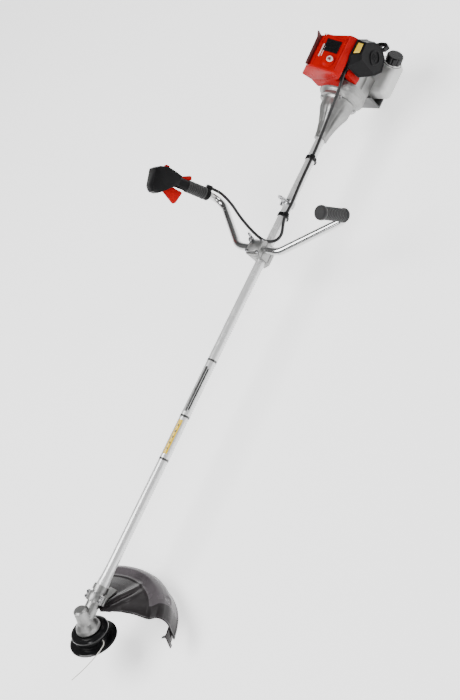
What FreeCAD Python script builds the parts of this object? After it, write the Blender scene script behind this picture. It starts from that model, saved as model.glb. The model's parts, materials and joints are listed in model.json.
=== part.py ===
import FreeCAD, Part
import math
import os

# Petrol string trimmer with a U handlebar, in millimetres.
# +X runs forward along the shaft tube from the engine to the cutting head, +Y is the operator's left,
# +Z is up, on the cylinder's side. The origin is on the tube's axis, under the middle of the handlebar.

V = FreeCAD.Vector
SPINDLE_UP = V(0, 0, 1)

# Shaft
TUBE_R = 14.0
TUBE_WALL = 1.5
TUBE_REAR_X = -468.0
TUBE_FRONT_X = 1046.0
SHAFT_R = 4.0
RUN = 0.05                 # radial clearance of every running fit
GUARD_CLAMP_X = 1048.0
NECK_R = 18.5              # the gear case's neck, round the tube's front end
SCREW_R = 2.5
BUSH_XS = (-330.0, -60.0, 210.0, 480.0, 750.0, 1000.0)

# Cutting head: the spindle leans back under the shaft
HEAD_X = 1113.0            # where the spindle's axis meets the shaft's axis
HEAD_TILT = 59.4           # degrees between the two axes
PINION_TEETH = 14
CROWN_TEETH = 19
CONE_NEAR = 16.0           # the gears' teeth, measured along the pitch cones
CONE_FAR = 24.0
HUB_R = 50.0
FLANGE_R = 66.0
KNOB_R = 31.0
LINE_R = 1.2

# Guard
GUARD_R = 232.0
GUARD_DROP = 72.0          # the skirt's lower edge, below the crossing point along the spindle
GUARD_WALL = 3.0
GUARD_NEAR = 66.0          # degrees either side of straight back
GUARD_FAR = 33.0
SKIRT_R = GUARD_R - 3.4
SKIRT_FROM = 39.0          # degrees, like GUARD_NEAR
SKIRT_TO = 66.5

# Handlebar
BAR_R = 11.0
BAR_Z = 31.0
BAR_HALF = 81.0
ARM_END = V(-145.0, 254.0, 12.0)
LEFT_GRIP_DIR = V(0.45, 0.01, 0.89).normalize()
RIGHT_GRIP_DIR = V(0.216, -0.23, 0.949).normalize()
LEFT_REACH = 126.0
RIGHT_REACH = 228.0
GRIP_R = 18.0
TRIGGER_PIVOT = V(24.0, 0.0, 206.0)    # in the throttle's own frame, like the next line
LOCK_PIVOT = V(-14.0, 0.0, 156.0)

# Bracket fasteners: three socket screws and a wing nut
BRACKET_SCREWS = ((18.0, -20.0), (18.0, 20.0), (-18.0, 20.0))
KNOB_AT = V(-18.0, -20.0, BAR_Z + 17)

# Engine
FLANGE_X = -515.0          # the clutch housing's rear face
FLANGE_SCREWS = ((36.0, 36.0), (-36.0, 36.0), (-36.0, -36.0), (36.0, -36.0))
PISTON_X = -600.0
BORE_R = 20.0
THROW = 15.0
ROD_LENGTH = 62.0
JOURNAL_R = 7.5
DRUM_R = 39.0
SHOE_R = 34.6
SHOE_PIVOT_R = 26.0
FAN_R = 60.0
CHOKE_PIVOT = V(-618.3, 55.0, 66.0)
REEL_X = -680.0
ROPE_COIL_R = 28.0
ROPE_Z = 30.4

# Fuel tank
TANK_LOW = -115.0
TANK_REAR_X = -712.0
FILLER_DIR = V(-0.50, 0.55, 0.66).normalize()
FILLER_BASE = V(-691.0, 62.0, -69.0)
CAP_START = 13.3           # from the filler's base to the cap's rim

# Cable clips and harness eye on the tube
CLIP_XS = (-126.0, -316.0)
HARNESS_X = -165.0
EYE_Z = 34.0
EYE_R = 5.5

# The throttle cable's route, from the throttle's lower end to the carburettor
CABLE_R = 4.5
CABLE_ROUTE = (
    (-154.2, -262.7, 64.7),
    (-158.1, -258.5, 47.6),
    (-151.0, -232.0, 40.0),
    (-122.0, -174.0, 40.0),
    (-92.0, -128.0, 40.0),
    (-67.0, -84.0, 38.0),
    (-46.0, -43.0, 31.0),
    (-32.0, -8.0, 24.0),
    (-30.0, 22.0, 22.0),
    (-42.0, 38.0, 15.0),
    (-66.0, 37.0, 8.0),
    (-92.0, 25.0, 7.5),
    (-114.0, 18.8, 9.7),
    (-138.0, 18.4, 10.0),
    (-166.0, 21.5, 11.5),
    (-206.0, 17.5, 11.0),
    (-250.0, 15.0, 11.5),
    (-294.0, 15.0, 12.0),
    (-350.0, 15.0, 14.5),
    (-396.0, 17.5, 22.0),
    (-440.0, 24.0, 34.0),
    (-476.0, 36.0, 50.0),
    (-508.0, 50.0, 68.0),
    (-536.0, 56.0, 81.0),
    (-560.0, 57.5, 86.5),
    (-582.0, 57.5, 86.5),
)


def cyl(radius, length, base, direction=V(1, 0, 0)):
    return Part.makeCylinder(radius, length, base, direction)


def ring(outer, inner, length, base, direction=V(1, 0, 0)):
    body = cyl(outer, length, base, direction)
    return body.cut(cyl(inner, length + 2, base - direction * 1.0, direction))


def box(x0, x1, y0, y1, z0, z1):
    return Part.makeBox(x1 - x0, y1 - y0, z1 - z0, V(x0, y0, z0))


def soft_box(x0, x1, y0, y1, z0, z1, radius):
    body = box(x0, x1, y0, y1, z0, z1)
    return body.makeFillet(radius, body.Edges)


def prism(points, direction):
    corners = [V(*p) for p in points]
    wire = Part.makePolygon(corners + [corners[0]])
    return Part.Face(wire).extrude(direction)


def turned(profile, base, direction):
    """A solid of revolution: profile is (along, radius) pairs from the axis and back to it."""
    side = V(0, 1, 0)
    if abs(direction.dot(side)) > 0.9:
        side = V(0, 0, 1)
    side = (side - direction * side.dot(direction)).normalize()
    points = [base + direction * a + side * r for a, r in profile]
    wire = Part.makePolygon(points + [points[0]])
    return Part.Face(wire).revolve(base, direction, 360)


def fuse(shapes):
    body = shapes[0]
    for shape in shapes[1:]:
        body = body.fuse(shape)
    return body


def cut(body, tools):
    for tool in tools:
        body = body.cut(tool)
    return body


def group(shapes):
    solids = []
    for shape in shapes:
        solids.extend(shape.Solids)
    return Part.makeCompound(solids)


def placed(shape, origin, x_dir, z_dir):
    """Move a shape from its own frame to the machine's."""
    y_dir = z_dir.cross(x_dir)
    matrix = FreeCAD.Matrix(
        x_dir.x, y_dir.x, z_dir.x, origin.x,
        x_dir.y, y_dir.y, z_dir.y, origin.y,
        x_dir.z, y_dir.z, z_dir.z, origin.z,
        0, 0, 0, 1)
    return shape.transformed(matrix)


def spun(shape, count, base, direction):
    shapes = []
    for i in range(count):
        copy = shape.copy()
        copy.rotate(base, direction, 360.0 * i / count)
        shapes.append(copy)
    return shapes


def rounded_path(points, radii=None):
    """Straight runs joined by tangent arcs. Returns the wire and the arcs' radii."""
    edges = []
    used = []
    start = points[0]
    for i in range(1, len(points) - 1):
        before = (points[i - 1] - points[i])
        after = (points[i + 1] - points[i])
        shorter = min(before.Length, after.Length)
        before.normalize()
        after.normalize()
        turn = math.pi - before.getAngle(after)
        radius = radii[i - 1] if radii else 0.45 * shorter / math.tan(turn / 2)
        reach = radius * math.tan(turn / 2)
        used.append(radius)
        a = points[i] + before * reach
        b = points[i] + after * reach
        middle_dir = (before + after).normalize()
        middle = points[i] + middle_dir * (radius / math.cos(turn / 2) - radius)
        edges.append(Part.LineSegment(start, a).toShape())
        edges.append(Part.Arc(a, middle, b).toShape())
        start = b
    edges.append(Part.LineSegment(start, points[-1]).toShape())
    return Part.Wire(edges), used


def swept(wire, radius):
    first = wire.Edges[0]
    tangent = first.tangentAt(first.FirstParameter)
    circle = Part.Wire(Part.makeCircle(radius, wire.Vertexes[0].Point, tangent))
    return wire.makePipeShell([circle], True, True)


# ---------------------------------------------------------------- shaft

def shaft_tube():
    length = TUBE_FRONT_X - TUBE_REAR_X
    return ring(TUBE_R, TUBE_R - TUBE_WALL, length, V(TUBE_REAR_X, 0, 0))


def shaft_bushings():
    outer = TUBE_R - TUBE_WALL
    return group([ring(outer, SHAFT_R + RUN, 24, V(x - 12, 0, 0)) for x in BUSH_XS])


def drive_shaft():
    return cyl(SHAFT_R, HEAD_X - 13 + 482, V(-482, 0, 0))


# ---------------------------------------------------------------- gear case and head
# The head's own frame: origin at the axes' crossing, +Z up the spindle, +X forward and up.

def to_machine(shape):
    tilt = math.radians(HEAD_TILT)
    up = V(-math.cos(tilt), 0, math.sin(tilt))
    forward = V(math.sin(tilt), 0, math.cos(tilt))
    return placed(shape, V(HEAD_X, 0, 0), forward, up)


def gear_case():
    tilt = math.radians(HEAD_TILT)
    back = V(-math.sin(tilt), 0, math.cos(tilt))
    tower = turned([(42, 0), (42, 14), (38, 18.5), (8, 20), (-2, 22), (-14, 31), (-24, 34), (-26, 34), (-26, 0)],
                   V(0, 0, 0), SPINDLE_UP)
    neck = cyl(NECK_R, 100, V(0, 0, 0), back)
    collar = cyl(21.5, 16, back * 84, back)
    body = fuse([tower, neck, collar])
    hollows = [
        cyl(15.0, 20, V(0, 0, 2), SPINDLE_UP),
        cyl(12.0, 8.5, V(0, 0, 22), SPINDLE_UP),
        cyl(16.0, 30, V(0, 0, -27), SPINDLE_UP),
        cyl(18.0, 12, V(0, 0, -27), SPINDLE_UP),
        cyl(TUBE_R, 60, back * (HEAD_X - TUBE_FRONT_X), back),
        cyl(13.0, 62, back * 6, back),
    ]
    return to_machine(cut(body, hollows))


def bearing_ring(outer, inner, width, base, direction=V(1, 0, 0)):
    """A sealed ball bearing as one ring, with its shields a little sunken."""
    body = ring(outer, inner, width, base, direction)
    middle = (outer + inner) / 2
    groove = (outer - inner) * 0.25
    for face in (0.0, width - 0.6):
        start = base + direction * face
        body = body.cut(ring(middle + groove, middle - groove, 0.6, start, direction))
    return body


def ball_bearings():
    pinion = V(HEAD_X - 60, 0, 0)
    head = [
        bearing_ring(12.0, 6 + RUN, 8, V(0, 0, 22), SPINDLE_UP),
        bearing_ring(16.0, 10 + RUN, 9, V(0, 0, -12), SPINDLE_UP),
    ]
    shapes = [to_machine(shape) for shape in head]
    shapes.append(bearing_ring(13.0, SHAFT_R + RUN, 9, pinion))
    shapes.append(bearing_ring(16.0, 7.5 + RUN, 10, V(-482, 0, 0)))
    shapes.append(bearing_ring(16.0, JOURNAL_R + RUN, 9, V(-579, 0, 0)))
    shapes.append(bearing_ring(16.0, JOURNAL_R + RUN, 9, V(-631, 0, 0)))
    return group(shapes)


def pitch_angle(teeth, mate):
    """Half the pitch cone's angle, for two bevel gears whose axes cross at the head's tilt."""
    tilt = math.radians(HEAD_TILT)
    return math.atan(math.sin(tilt) / (mate / teeth + math.cos(tilt)))


def bevel(teeth, mate, bore):
    """A bevel gear on Z with its cone's point at the origin, thin straight teeth and a tooth on +X."""
    angle = pitch_angle(teeth, mate)
    near = CONE_NEAR * math.cos(angle)
    far = CONE_FAR * math.cos(angle)
    near_r = CONE_NEAR * math.sin(angle)
    far_r = CONE_FAR * math.sin(angle)
    body = Part.makeCone(near_r - 1.1, far_r - 1.1, far - near, V(0, 0, near))
    for i in range(teeth):
        rings = []
        for z, r in ((near, near_r), (far, far_r)):
            root = math.pi * r / teeth * 0.40
            tip = math.pi * r / teeth * 0.16
            corners = [V(r - 1.5, -root, z), V(r + 0.6, -tip, z), V(r + 0.6, tip, z), V(r - 1.5, root, z)]
            rings.append(Part.makePolygon(corners + [corners[0]]))
        tooth = Part.makeLoft(rings, True, True)
        tooth.rotate(V(0, 0, 0), V(0, 0, 1), 360.0 * i / teeth)
        body = body.fuse(tooth)
    return body.cut(cyl(bore, far - near + 4, V(0, 0, near - 2), V(0, 0, 1)))


def bevel_pinion():
    gear = bevel(PINION_TEETH, CROWN_TEETH, SHAFT_R)
    start = CONE_FAR * math.cos(pitch_angle(PINION_TEETH, CROWN_TEETH))
    hub = ring(6.5, SHAFT_R, 14, V(0, 0, start), V(0, 0, 1))
    return placed(fuse([gear, hub]), V(HEAD_X, 0, 0), V(0, 0, 1), V(-1, 0, 0))


def crown_gear():
    return to_machine(bevel(CROWN_TEETH, PINION_TEETH, 5.5))


def output_spindle():
    profile = [(-62, 0), (-62, 4), (-29.5, 4), (-29.5, 10), (-3.2, 10), (-3.2, 5.5), (21, 5.5), (21, 6), (30, 6),
               (30, 0)]
    return to_machine(turned(profile, V(0, 0, 0), SPINDLE_UP))


def head_housing():
    profile = [(-29.5, 8), (-29.5, 44), (-31, 50), (-34, 52), (-38, 52), (-39, 48), (-41, HUB_R - 3),
               (-57, HUB_R - 4), (-59, HUB_R - 2), (-60, HUB_R - 2), (-60, 43), (-36, 43), (-34, 40), (-34, 8)]
    body = turned(profile, V(0, 0, 0), SPINDLE_UP)
    sleeve = ring(9, 4, 26, V(0, 0, -56), SPINDLE_UP)
    neck = ring(12, 4, 4.5, V(0, 0, -34.5), SPINDLE_UP)
    body = fuse([body, sleeve, neck])
    eyelet = cyl(4.5, 60, V(0, 0, -49), V(0, 1, 0))
    other = cyl(4.5, 60, V(0, 0, -49), V(0, -1, 0))
    body = body.cut(eyelet.fuse(other).cut(cyl(20, 40, V(0, 0, -70), SPINDLE_UP)))
    eyes = []
    for side in (1, -1):
        eye = ring(4.5, 2.0, 8, V(0, side * 41.5, -49), V(0, side, 0))
        eyes.append(eye)
    return to_machine(group([body] + eyes))


def head_cover():
    profile = [(-60.2, 43), (-60.2, HUB_R), (-62, FLANGE_R - 3), (-64, FLANGE_R), (-67, FLANGE_R),
               (-69, FLANGE_R - 3), (-70, 50), (-74, 44), (-74, KNOB_R + 2), (-70, KNOB_R + 2), (-66, 43)]
    return to_machine(turned(profile, V(0, 0, 0), SPINDLE_UP))


def spool():
    profile = [(-43, 9.6), (-43, 38), (-45, 38), (-45, 22), (-57, 22), (-57, 38), (-59, 38), (-59, 12.6),
               (-65, 12.6), (-65, 9.6)]
    body = turned(profile, V(0, 0, 0), SPINDLE_UP)
    wound = ring(34, 22, 12, V(0, 0, -57), SPINDLE_UP)
    return to_machine(group([body, wound]))


def spool_spring():
    """The spring under the spool, as its turns and the wire that joins them."""
    turns = [ring(7.5, 6.0, 1.2, V(0, 0, -58 - 2.8 * i), SPINDLE_UP) for i in range(6)]
    link = cyl(0.6, 14, V(0, 6.75, -72), SPINDLE_UP)
    return to_machine(fuse(turns + [link]))


def bump_knob():
    profile = [(-63.2, 13), (-63.2, 15), (-72, 15), (-72, KNOB_R - 1), (-74, KNOB_R), (-84, KNOB_R - 1),
               (-89, KNOB_R - 7), (-91, 12), (-91, 0), (-76, 0), (-76, 13)]
    return to_machine(turned(profile, V(0, 0, 0), SPINDLE_UP))


def line_route(side):
    points = [V(0, 43, -49), V(0, 53, -49), V(8, 63, -50), V(28, 69, -51.5), V(56, 72.5, -54), V(94, 73.5, -56.5),
              V(131, 72, -57)]
    if side < 0:
        points = [V(-p.x, -p.y, p.z) for p in points]
    return points


def cutting_line():
    strands = []
    for side in (1, -1):
        wire, radii = rounded_path(line_route(side))
        print("cutting line radii", [round(r, 1) for r in radii])
        strands.append(swept(wire, LINE_R))
    return to_machine(group(strands))


# ---------------------------------------------------------------- guard

def guard_section(outer_shift):
    """The guard's section as (along, radius) pairs, from the hub to the skirt."""
    s = outer_shift
    points = [(14 - s, 46), (14 - s, 106), (6 - s, 140), (-6 - s, 182)]
    centre_along = -40.0
    centre_radius = GUARD_R - 40.0
    for i in range(7):
        angle = math.radians(75 - 12.5 * i)
        points.append((centre_along + (40.0 - s) * math.sin(angle), centre_radius + (40.0 - s) * math.cos(angle)))
    points.append((-GUARD_DROP, GUARD_R + 3 - s))
    return points


def wedge(low, high, margin, apex_back=34.0):
    near = math.radians(GUARD_NEAR) - margin
    far = math.radians(GUARD_FAR) - margin
    reach = 420.0
    mid = math.radians((GUARD_NEAR - GUARD_FAR) / 2)
    points = [(-apex_back, 14, low)]
    for angle in (near, mid, -far):
        points.append((-apex_back - reach * math.cos(angle), reach * math.sin(angle), low))
    points.append((-apex_back, -14, low))
    return prism(points, V(0, 0, high - low))


def guard_shell():
    outer = guard_section(0.0)
    inner = guard_section(GUARD_WALL)
    body = turned(outer + inner[::-1], V(0, 0, 0), SPINDLE_UP)
    body = body.common(wedge(-GUARD_DROP - 5, 60, 0.0))
    clear = turned([(-60, 0), (-60, 56), (-26, 56), (-26, 37), (60, 37), (60, 0)], V(0, 0, 0), SPINDLE_UP)
    body = body.cut(clear)
    ribs = []
    for angle in (GUARD_NEAR - 47, GUARD_NEAR - 29):
        rib = prism([(-58, -3.5, 12), (-58, 3.5, 12), (-58, 2.0, 22), (-58, -2.0, 22)], V(-118, 0, -6))
        rib.rotate(V(0, 0, 0), V(0, 0, 1), -angle)
        ribs.append(rib)
    shell = to_machine(fuse([body] + ribs))
    return shell.cut(cyl(25, 140, V(980, 0, 0)))


def guard_screw_places():
    return [(GUARD_CLAMP_X + dx, dy) for dx in (-6, 7) for dy in (-29, 29)]


def skirt_point(radius, degrees, z):
    a = math.radians(degrees)
    return V(-radius * math.cos(a), radius * math.sin(a), z)


def guard_skirt():
    low = -GUARD_DROP - 12
    body = ring(SKIRT_R, SKIRT_R - 3, 44, V(0, 0, low), SPINDLE_UP)
    keep = prism([tuple(skirt_point(150, SKIRT_FROM, low)), tuple(skirt_point(330, SKIRT_FROM, low)),
                  tuple(skirt_point(330, SKIRT_TO, low)), tuple(skirt_point(150, SKIRT_TO, low))], V(0, 0, 44))
    body = body.common(keep)
    notch = []
    for a, depth in ((SKIRT_FROM + 3, 10), (SKIRT_FROM + 12, 6), (SKIRT_FROM + 20, 11)):
        tooth = prism([tuple(skirt_point(200, a, low - 1)), tuple(skirt_point(280, a, low - 1)),
                       tuple(skirt_point(280, a + 5, low - 1)), tuple(skirt_point(200, a + 5, low - 1))],
                      V(0, 0, depth))
        notch.append(tooth)
    return to_machine(cut(body, notch))


def line_cutter():
    """The steel blade on the skirt that trims the line to length."""
    angle = math.radians(SKIRT_TO - 8)
    out = V(-math.cos(angle), math.sin(angle), 0)
    along = V(0, 0, 1).cross(out)
    low = V(0, 0, -GUARD_DROP + 6)
    high = V(0, 0, -GUARD_DROP + 30)
    a = out * (SKIRT_R - 3.8)
    edge = a - out * 1.6
    blade = prism([tuple(a + along * -14 + low), tuple(a + along * 14 + low), tuple(a + along * 14 + high),
                   tuple(a + along * -14 + high)], out * -1.6)
    tip = prism([tuple(edge + along * -14 + low), tuple(edge + along * 6 + low),
                 tuple(edge + along * -8 - out * 22 + low), tuple(edge + along * -14 - out * 22 + low)],
                V(0, 0, 2.0))
    return to_machine(fuse([blade, tip]))


def guard_bracket():
    """A split clamp round the gear case's neck, whose lower half carries the guard on a tongue."""
    start = GUARD_CLAMP_X - 13
    band = cyl(24.5, 26, V(start, 0, 0))
    ears = box(start + 1, start + 25, -33.5, 33.5, -8, 8)
    post = box(start, start + 14, -11, 11, -36, -18).common(to_machine(box(-200, 20, -60, 60, 14, 120)))
    tongue = to_machine(box(-112, -66, -14, 14, 14, 17.5))
    whole = fuse([band, ears])
    above = whole.common(box(950, 1100, -60, 60, 0.8, 60))
    below = fuse([whole.common(box(950, 1100, -60, 60, -60, -0.8)), post, tongue])
    tools = [cyl(NECK_R, 60, V(start - 20, 0, 0))]
    for x, y in guard_screw_places():
        tools.append(cyl(SCREW_R, 40, V(x, y, -20), V(0, 0, 1)))
    return group([cut(above, tools), cut(below, tools)])


# ---------------------------------------------------------------- handlebar and its bracket

def bar_axis_cylinder(radius, half):
    return cyl(radius, 2 * half, V(0, -half, BAR_Z), V(0, 1, 0))


def bracket_holes():
    holes = [cyl(SCREW_R, 120, V(x, y, -40), V(0, 0, 1)) for x, y in BRACKET_SCREWS]
    return holes + [cyl(3.2, 120, V(KNOB_AT.x, KNOB_AT.y, -40), V(0, 0, 1))]


def bracket_base():
    """Two castings: a cap under the tube, and a saddle between the tube and the handlebar."""
    lower = box(-24, 24, -26, 26, -24, -1)
    lower = lower.cut(prism([(24, -26, -24), (24, -26, -10), (24, -14, -24)], V(-48, 0, 0)))
    lower = lower.cut(prism([(24, 26, -24), (24, 26, -10), (24, 14, -24)], V(-48, 0, 0)))
    tip = prism([(24, -12, -24), (34, 0, -24), (24, 12, -24)], V(0, 0, 20))
    upper = box(-24, 24, -26, 26, 1, BAR_Z - 1)
    lower = fuse([lower, tip])
    tools = [cyl(TUBE_R, 80, V(-40, 0, 0)), bar_axis_cylinder(BAR_R + RUN, 60)] + bracket_holes()
    return group([cut(lower, tools), cut(upper, tools)])


def bar_cap():
    body = box(-24, 24, -26, 26, BAR_Z + 1, BAR_Z + 17)
    corner = 8.0
    top = BAR_Z + 17
    for side in (1, -1):
        body = body.cut(prism([(side * 24, -26, top), (side * 24, -26, top - corner), (side * (24 - corner), -26, top)],
                              V(0, 52, 0)))
    return cut(body, [bar_axis_cylinder(BAR_R + RUN, 60)] + bracket_holes())


def socket_screw(radius, head_radius, head_height, length, base, direction):
    """base is under the head; direction points from the head down the thread."""
    shank = cyl(radius, length, base, direction)
    head = cyl(head_radius, head_height, base - direction * head_height, direction)
    socket = cyl(radius * 0.55, head_height * 0.6, base - direction * head_height, direction)
    return fuse([shank, head]).cut(socket)


def socket_screws():
    down = V(0, 0, -1)
    screws = [socket_screw(SCREW_R, 4.2, 5, 62, V(x, y, BAR_Z + 17), down) for x, y in BRACKET_SCREWS]
    for x, y in guard_screw_places():
        screws.append(socket_screw(SCREW_R, 4.2, 4, 15, V(x, y, 8), down))
    for y, z in FLANGE_SCREWS:
        screws.append(socket_screw(SCREW_R, 4.2, 4, 12, V(FLANGE_X + 8, y, z), V(-1, 0, 0)))
    return group(screws)


def clamp_knob():
    """The wing nut and stud at the bracket's right rear corner."""
    stud = cyl(2.9, 64, KNOB_AT + V(0, 0, -62), V(0, 0, 1))
    boss = cyl(7, 8, KNOB_AT + V(0, 0, 0.3), V(0, 0, 1))
    wing = box(-15, 15, -2.2, 2.2, 4, 17).cut(box(-6, 6, -5, 5, 11, 20))
    wing.rotate(V(0, 0, 0), V(0, 0, 1), 35)
    wing.translate(KNOB_AT)
    return fuse([stud, boss, wing])


def bar_points():
    left_end = ARM_END + LEFT_GRIP_DIR * LEFT_REACH
    right_corner = V(ARM_END.x, -ARM_END.y, ARM_END.z)
    right_end = right_corner + RIGHT_GRIP_DIR * RIGHT_REACH
    return [right_end, right_corner, V(0, -BAR_HALF, BAR_Z), V(0, BAR_HALF, BAR_Z), ARM_END, left_end]


def handlebar():
    points = bar_points()
    wire, radii = rounded_path(points, (42.0, 60.0, 42.0, 26.0))
    outer = swept(wire, BAR_R)
    inner = swept(wire, BAR_R - 1.6)
    return outer.cut(inner)


def left_grip():
    end = ARM_END + LEFT_GRIP_DIR * LEFT_REACH
    base = end - LEFT_GRIP_DIR * 98
    profile = [(0, BAR_R), (0, 17), (3, 20), (8, 20), (11, GRIP_R), (88, GRIP_R), (92, 20.5), (100, 20.5), (104, 17),
               (104, 0), (98.2, 0), (98.2, BAR_R)]
    body = turned(profile, base, LEFT_GRIP_DIR)
    grooves = [ring(GRIP_R + 3, GRIP_R - 0.9, 2.0, base + LEFT_GRIP_DIR * (18 + 7 * i), LEFT_GRIP_DIR)
               for i in range(10)]
    return cut(body, grooves)


# The throttle's own frame: origin at the arm's corner, +Z up the grip, +X forward.

def to_throttle():
    up = RIGHT_GRIP_DIR
    forward = (V(1, 0, 0) - up * up.x).normalize()
    return V(ARM_END.x, -ARM_END.y, ARM_END.z), forward, up


def throttle_place(shape):
    origin, forward, up = to_throttle()
    return placed(shape, origin, forward, up)


def throttle_housing():
    grip = turned([(52, 0), (52, 16), (55, 18.5), (62, 18.5), (66, 17), (160, 17), (168, 18), (168, 0)], V(0, 0, 0),
                  V(0, 0, 1))
    head = prism([(-17, -20, 163), (10, -20, 166), (40, -20, 201), (56, -20, 222), (56, -20, 237), (40, -20, 247),
                  (-10, -20, 252), (-21, -20, 238), (-27, -20, 213), (-23, -20, 186)], V(0, 40, 0))
    head = head.makeChamfer(6.0, [e for e in head.Edges if abs(e.tangentAt(e.FirstParameter).z) > 0.99])
    gland = cyl(7.5, 16, V(-20.5, 4, 50), V(0, 0, 1))
    bridge = box(-20, -8, -2, 9, 54, 63)
    body = fuse([grip, head, gland, bridge])
    hollows = [
        cyl(BAR_R, 188.5, V(0, 0, 40), V(0, 0, 1)),
        box(12, 70, -7.5, 7.5, 134, 216),
        box(-40, -11.5, -6.5, 6.5, 116, 162),
        box(-40, -17.5, -6.5, 6.5, 202, 220),
        cyl(CABLE_R, 14, V(-20.5, 4, 45), V(0, 0, 1)),
    ]
    body = cut(body, hollows)
    pin = cyl(2.0, 22, V(TRIGGER_PIVOT.x, -11, TRIGGER_PIVOT.z), V(0, 1, 0))
    lock_pin = cyl(1.0, 17, V(LOCK_PIVOT.x, -8.5, LOCK_PIVOT.z), V(0, 1, 0))
    return throttle_place(fuse([body, pin, lock_pin]))


def throttle_trigger():
    x = TRIGGER_PIVOT.x
    z = TRIGGER_PIVOT.z
    outline = [(x - 5, -6, z + 6), (x + 6, -6, z + 6), (x + 18, -6, z - 6), (x + 41, -6, z - 48),
               (x + 36, -6, z - 53), (x + 3, -6, z - 65), (x, -6, z - 62), (x - 5, -6, z - 10)]
    body = prism(outline, V(0, 12, 0))
    return throttle_place(body.cut(cyl(2.0 + RUN, 40, V(x, -20, z), V(0, 1, 0))))


def lockout_lever():
    x = LOCK_PIVOT.x
    z = LOCK_PIVOT.z
    outline = [(x + 1.6, -5.5, z + 4), (x + 1.6, -5.5, z - 4), (x - 3.5, -5.5, z - 29), (x - 7, -5.5, z - 34),
               (x - 16, -5.5, z - 31), (x - 17, -5.5, z - 26), (x - 8, -5.5, z - 5), (x - 4, -5.5, z + 4)]
    body = prism(outline, V(0, 11, 0))
    return throttle_place(body.cut(cyl(1.0 + RUN, 40, V(x, -20, z), V(0, 1, 0))))


def stop_switch():
    body = box(-35, -18, -6, 6, 203, 215.5)
    body = body.makeChamfer(2.0, [e for e in body.Edges if abs(e.CenterOfMass.x + 35) < 0.1])
    return throttle_place(body)


# ---------------------------------------------------------------- cable, clips and harness eye

def cable_vectors():
    return [V(*p) for p in CABLE_ROUTE]


def throttle_cable():
    wire, radii = rounded_path(cable_vectors())
    print("cable radii", [round(r) for r in radii])
    body = swept(wire, CABLE_R)
    print("cable length", round(wire.Length), "volume ratio", body.Volume / (math.pi * CABLE_R ** 2 * wire.Length))
    return body


def cable_clips():
    clips = []
    for x, offset in ((CLIP_XS[0], V(0, 18.5, 9.5)), (CLIP_XS[1], V(0, 15.0, 13.0))):
        band = cyl(TUBE_R + 2.4, 11, V(x - 5.5, 0, 0))
        ear = cyl(CABLE_R + 4.0, 11, V(x - 5.5, 0, 0) + offset)
        knob = box(x - 5.5, x + 5.5, -3.5, 3.5, -TUBE_R - 9, -TUBE_R + 4)
        tube = cyl(TUBE_R, 13, V(x - 6.5, 0, 0))
        room = cyl(CABLE_R + 1.6, 13, V(x - 6.5, 0, 0) + offset)
        clips.append(cut(fuse([band, ear, knob]), [tube, room]))
    return group(clips)


def harness_eye():
    band = cyl(17.5, 16, V(HARNESS_X - 8, 0, 0))
    outline = [(-13, 5), (-13, EYE_Z + 4), (-8, EYE_Z + 10), (4, EYE_Z + 10), (9, EYE_Z + 4), (9, 5)]
    tab = prism([(HARNESS_X - 2.0, y, z) for y, z in outline], V(4, 0, 0))
    ear = box(HARNESS_X - 7.5, HARNESS_X + 7.5, -30, -10, -4, 4)
    tube = cyl(TUBE_R, 40, V(HARNESS_X - 20, 0, 0))
    eye = cyl(EYE_R, 20, V(HARNESS_X - 10, -2, EYE_Z - 1))
    screw_hole = cyl(2.7, 20, V(HARNESS_X, -24, -10), V(0, 0, 1))
    return cut(fuse([band, tab, ear]), [tube, eye, screw_hole])


# ---------------------------------------------------------------- engine

def clutch_housing():
    outer = [(-382, 0), (-382, 19.5), (-402, 20), (-430, 25), (-455, 34), (-474, 42.5), (-500, 47), (-506, 50),
             (-507, 57), (FLANGE_X, 57), (FLANGE_X, 0)]
    body = turned([(x, r) for x, r in outer], V(0, 0, 0), V(1, 0, 0))
    hollows = [
        cyl(TUBE_R, 92, V(-470, 0, 0)),
        cyl(16.0, 11.2, V(-483, 0, 0)),
        cyl(13.0, 4, V(-473, 0, 0)),
        cyl(DRUM_R + 2.5, 36.5, V(-519.5, 0, 0)),
    ]
    for y, z in FLANGE_SCREWS:
        hollows.append(cyl(SCREW_R, 20, V(-520, y, z)))
        hollows.append(cyl(4.8, 20, V(-507, y, z)))
    return cut(body, hollows)


def clutch_drum():
    profile = [(-465, SHAFT_R), (-465, 7.5), (-484, 7.5), (-485, 9), (-485, DRUM_R), (-510, DRUM_R),
               (-510, DRUM_R - 2.4), (-487.5, DRUM_R - 2.4), (-487.5, 9), (-489, 9), (-489, SHAFT_R)]
    return turned(profile, V(0, 0, 0), V(1, 0, 0))


def shoe(side):
    """One half-moon clutch shoe, hung on its pin near one end."""
    body = ring(SHOE_R, 18, 16, V(-506, 0, 0))
    body = body.common(box(-520, -480, 4, 60, -60, 60))
    body = body.cut(cyl(3.0 + RUN, 30, V(-512, 9, -SHOE_PIVOT_R)))
    if side < 0:
        body.rotate(V(0, 0, 0), V(1, 0, 0), 180)
    return body


def clutch_shoe_a():
    return shoe(1)


def clutch_shoe_b():
    return shoe(-1)


def fan_housing():
    body = turned([(-515, 42), (-515, 57), (-519, 60), (-522, FAN_R + 2), (-526, FAN_R + 7), (-552, FAN_R + 7),
                   (-552, 11), (-548, 11), (-548, FAN_R + 3), (-526, FAN_R + 3), (-524, FAN_R), (-522, 57),
                   (-519, 42)], V(0, 0, 0), V(1, 0, 0))
    duct = box(-546, -528, -24, 24, 50, 90)
    holes = [cyl(SCREW_R, 12, V(-526, y, z)) for y, z in FLANGE_SCREWS]
    return cut(body, [duct] + holes)


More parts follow.
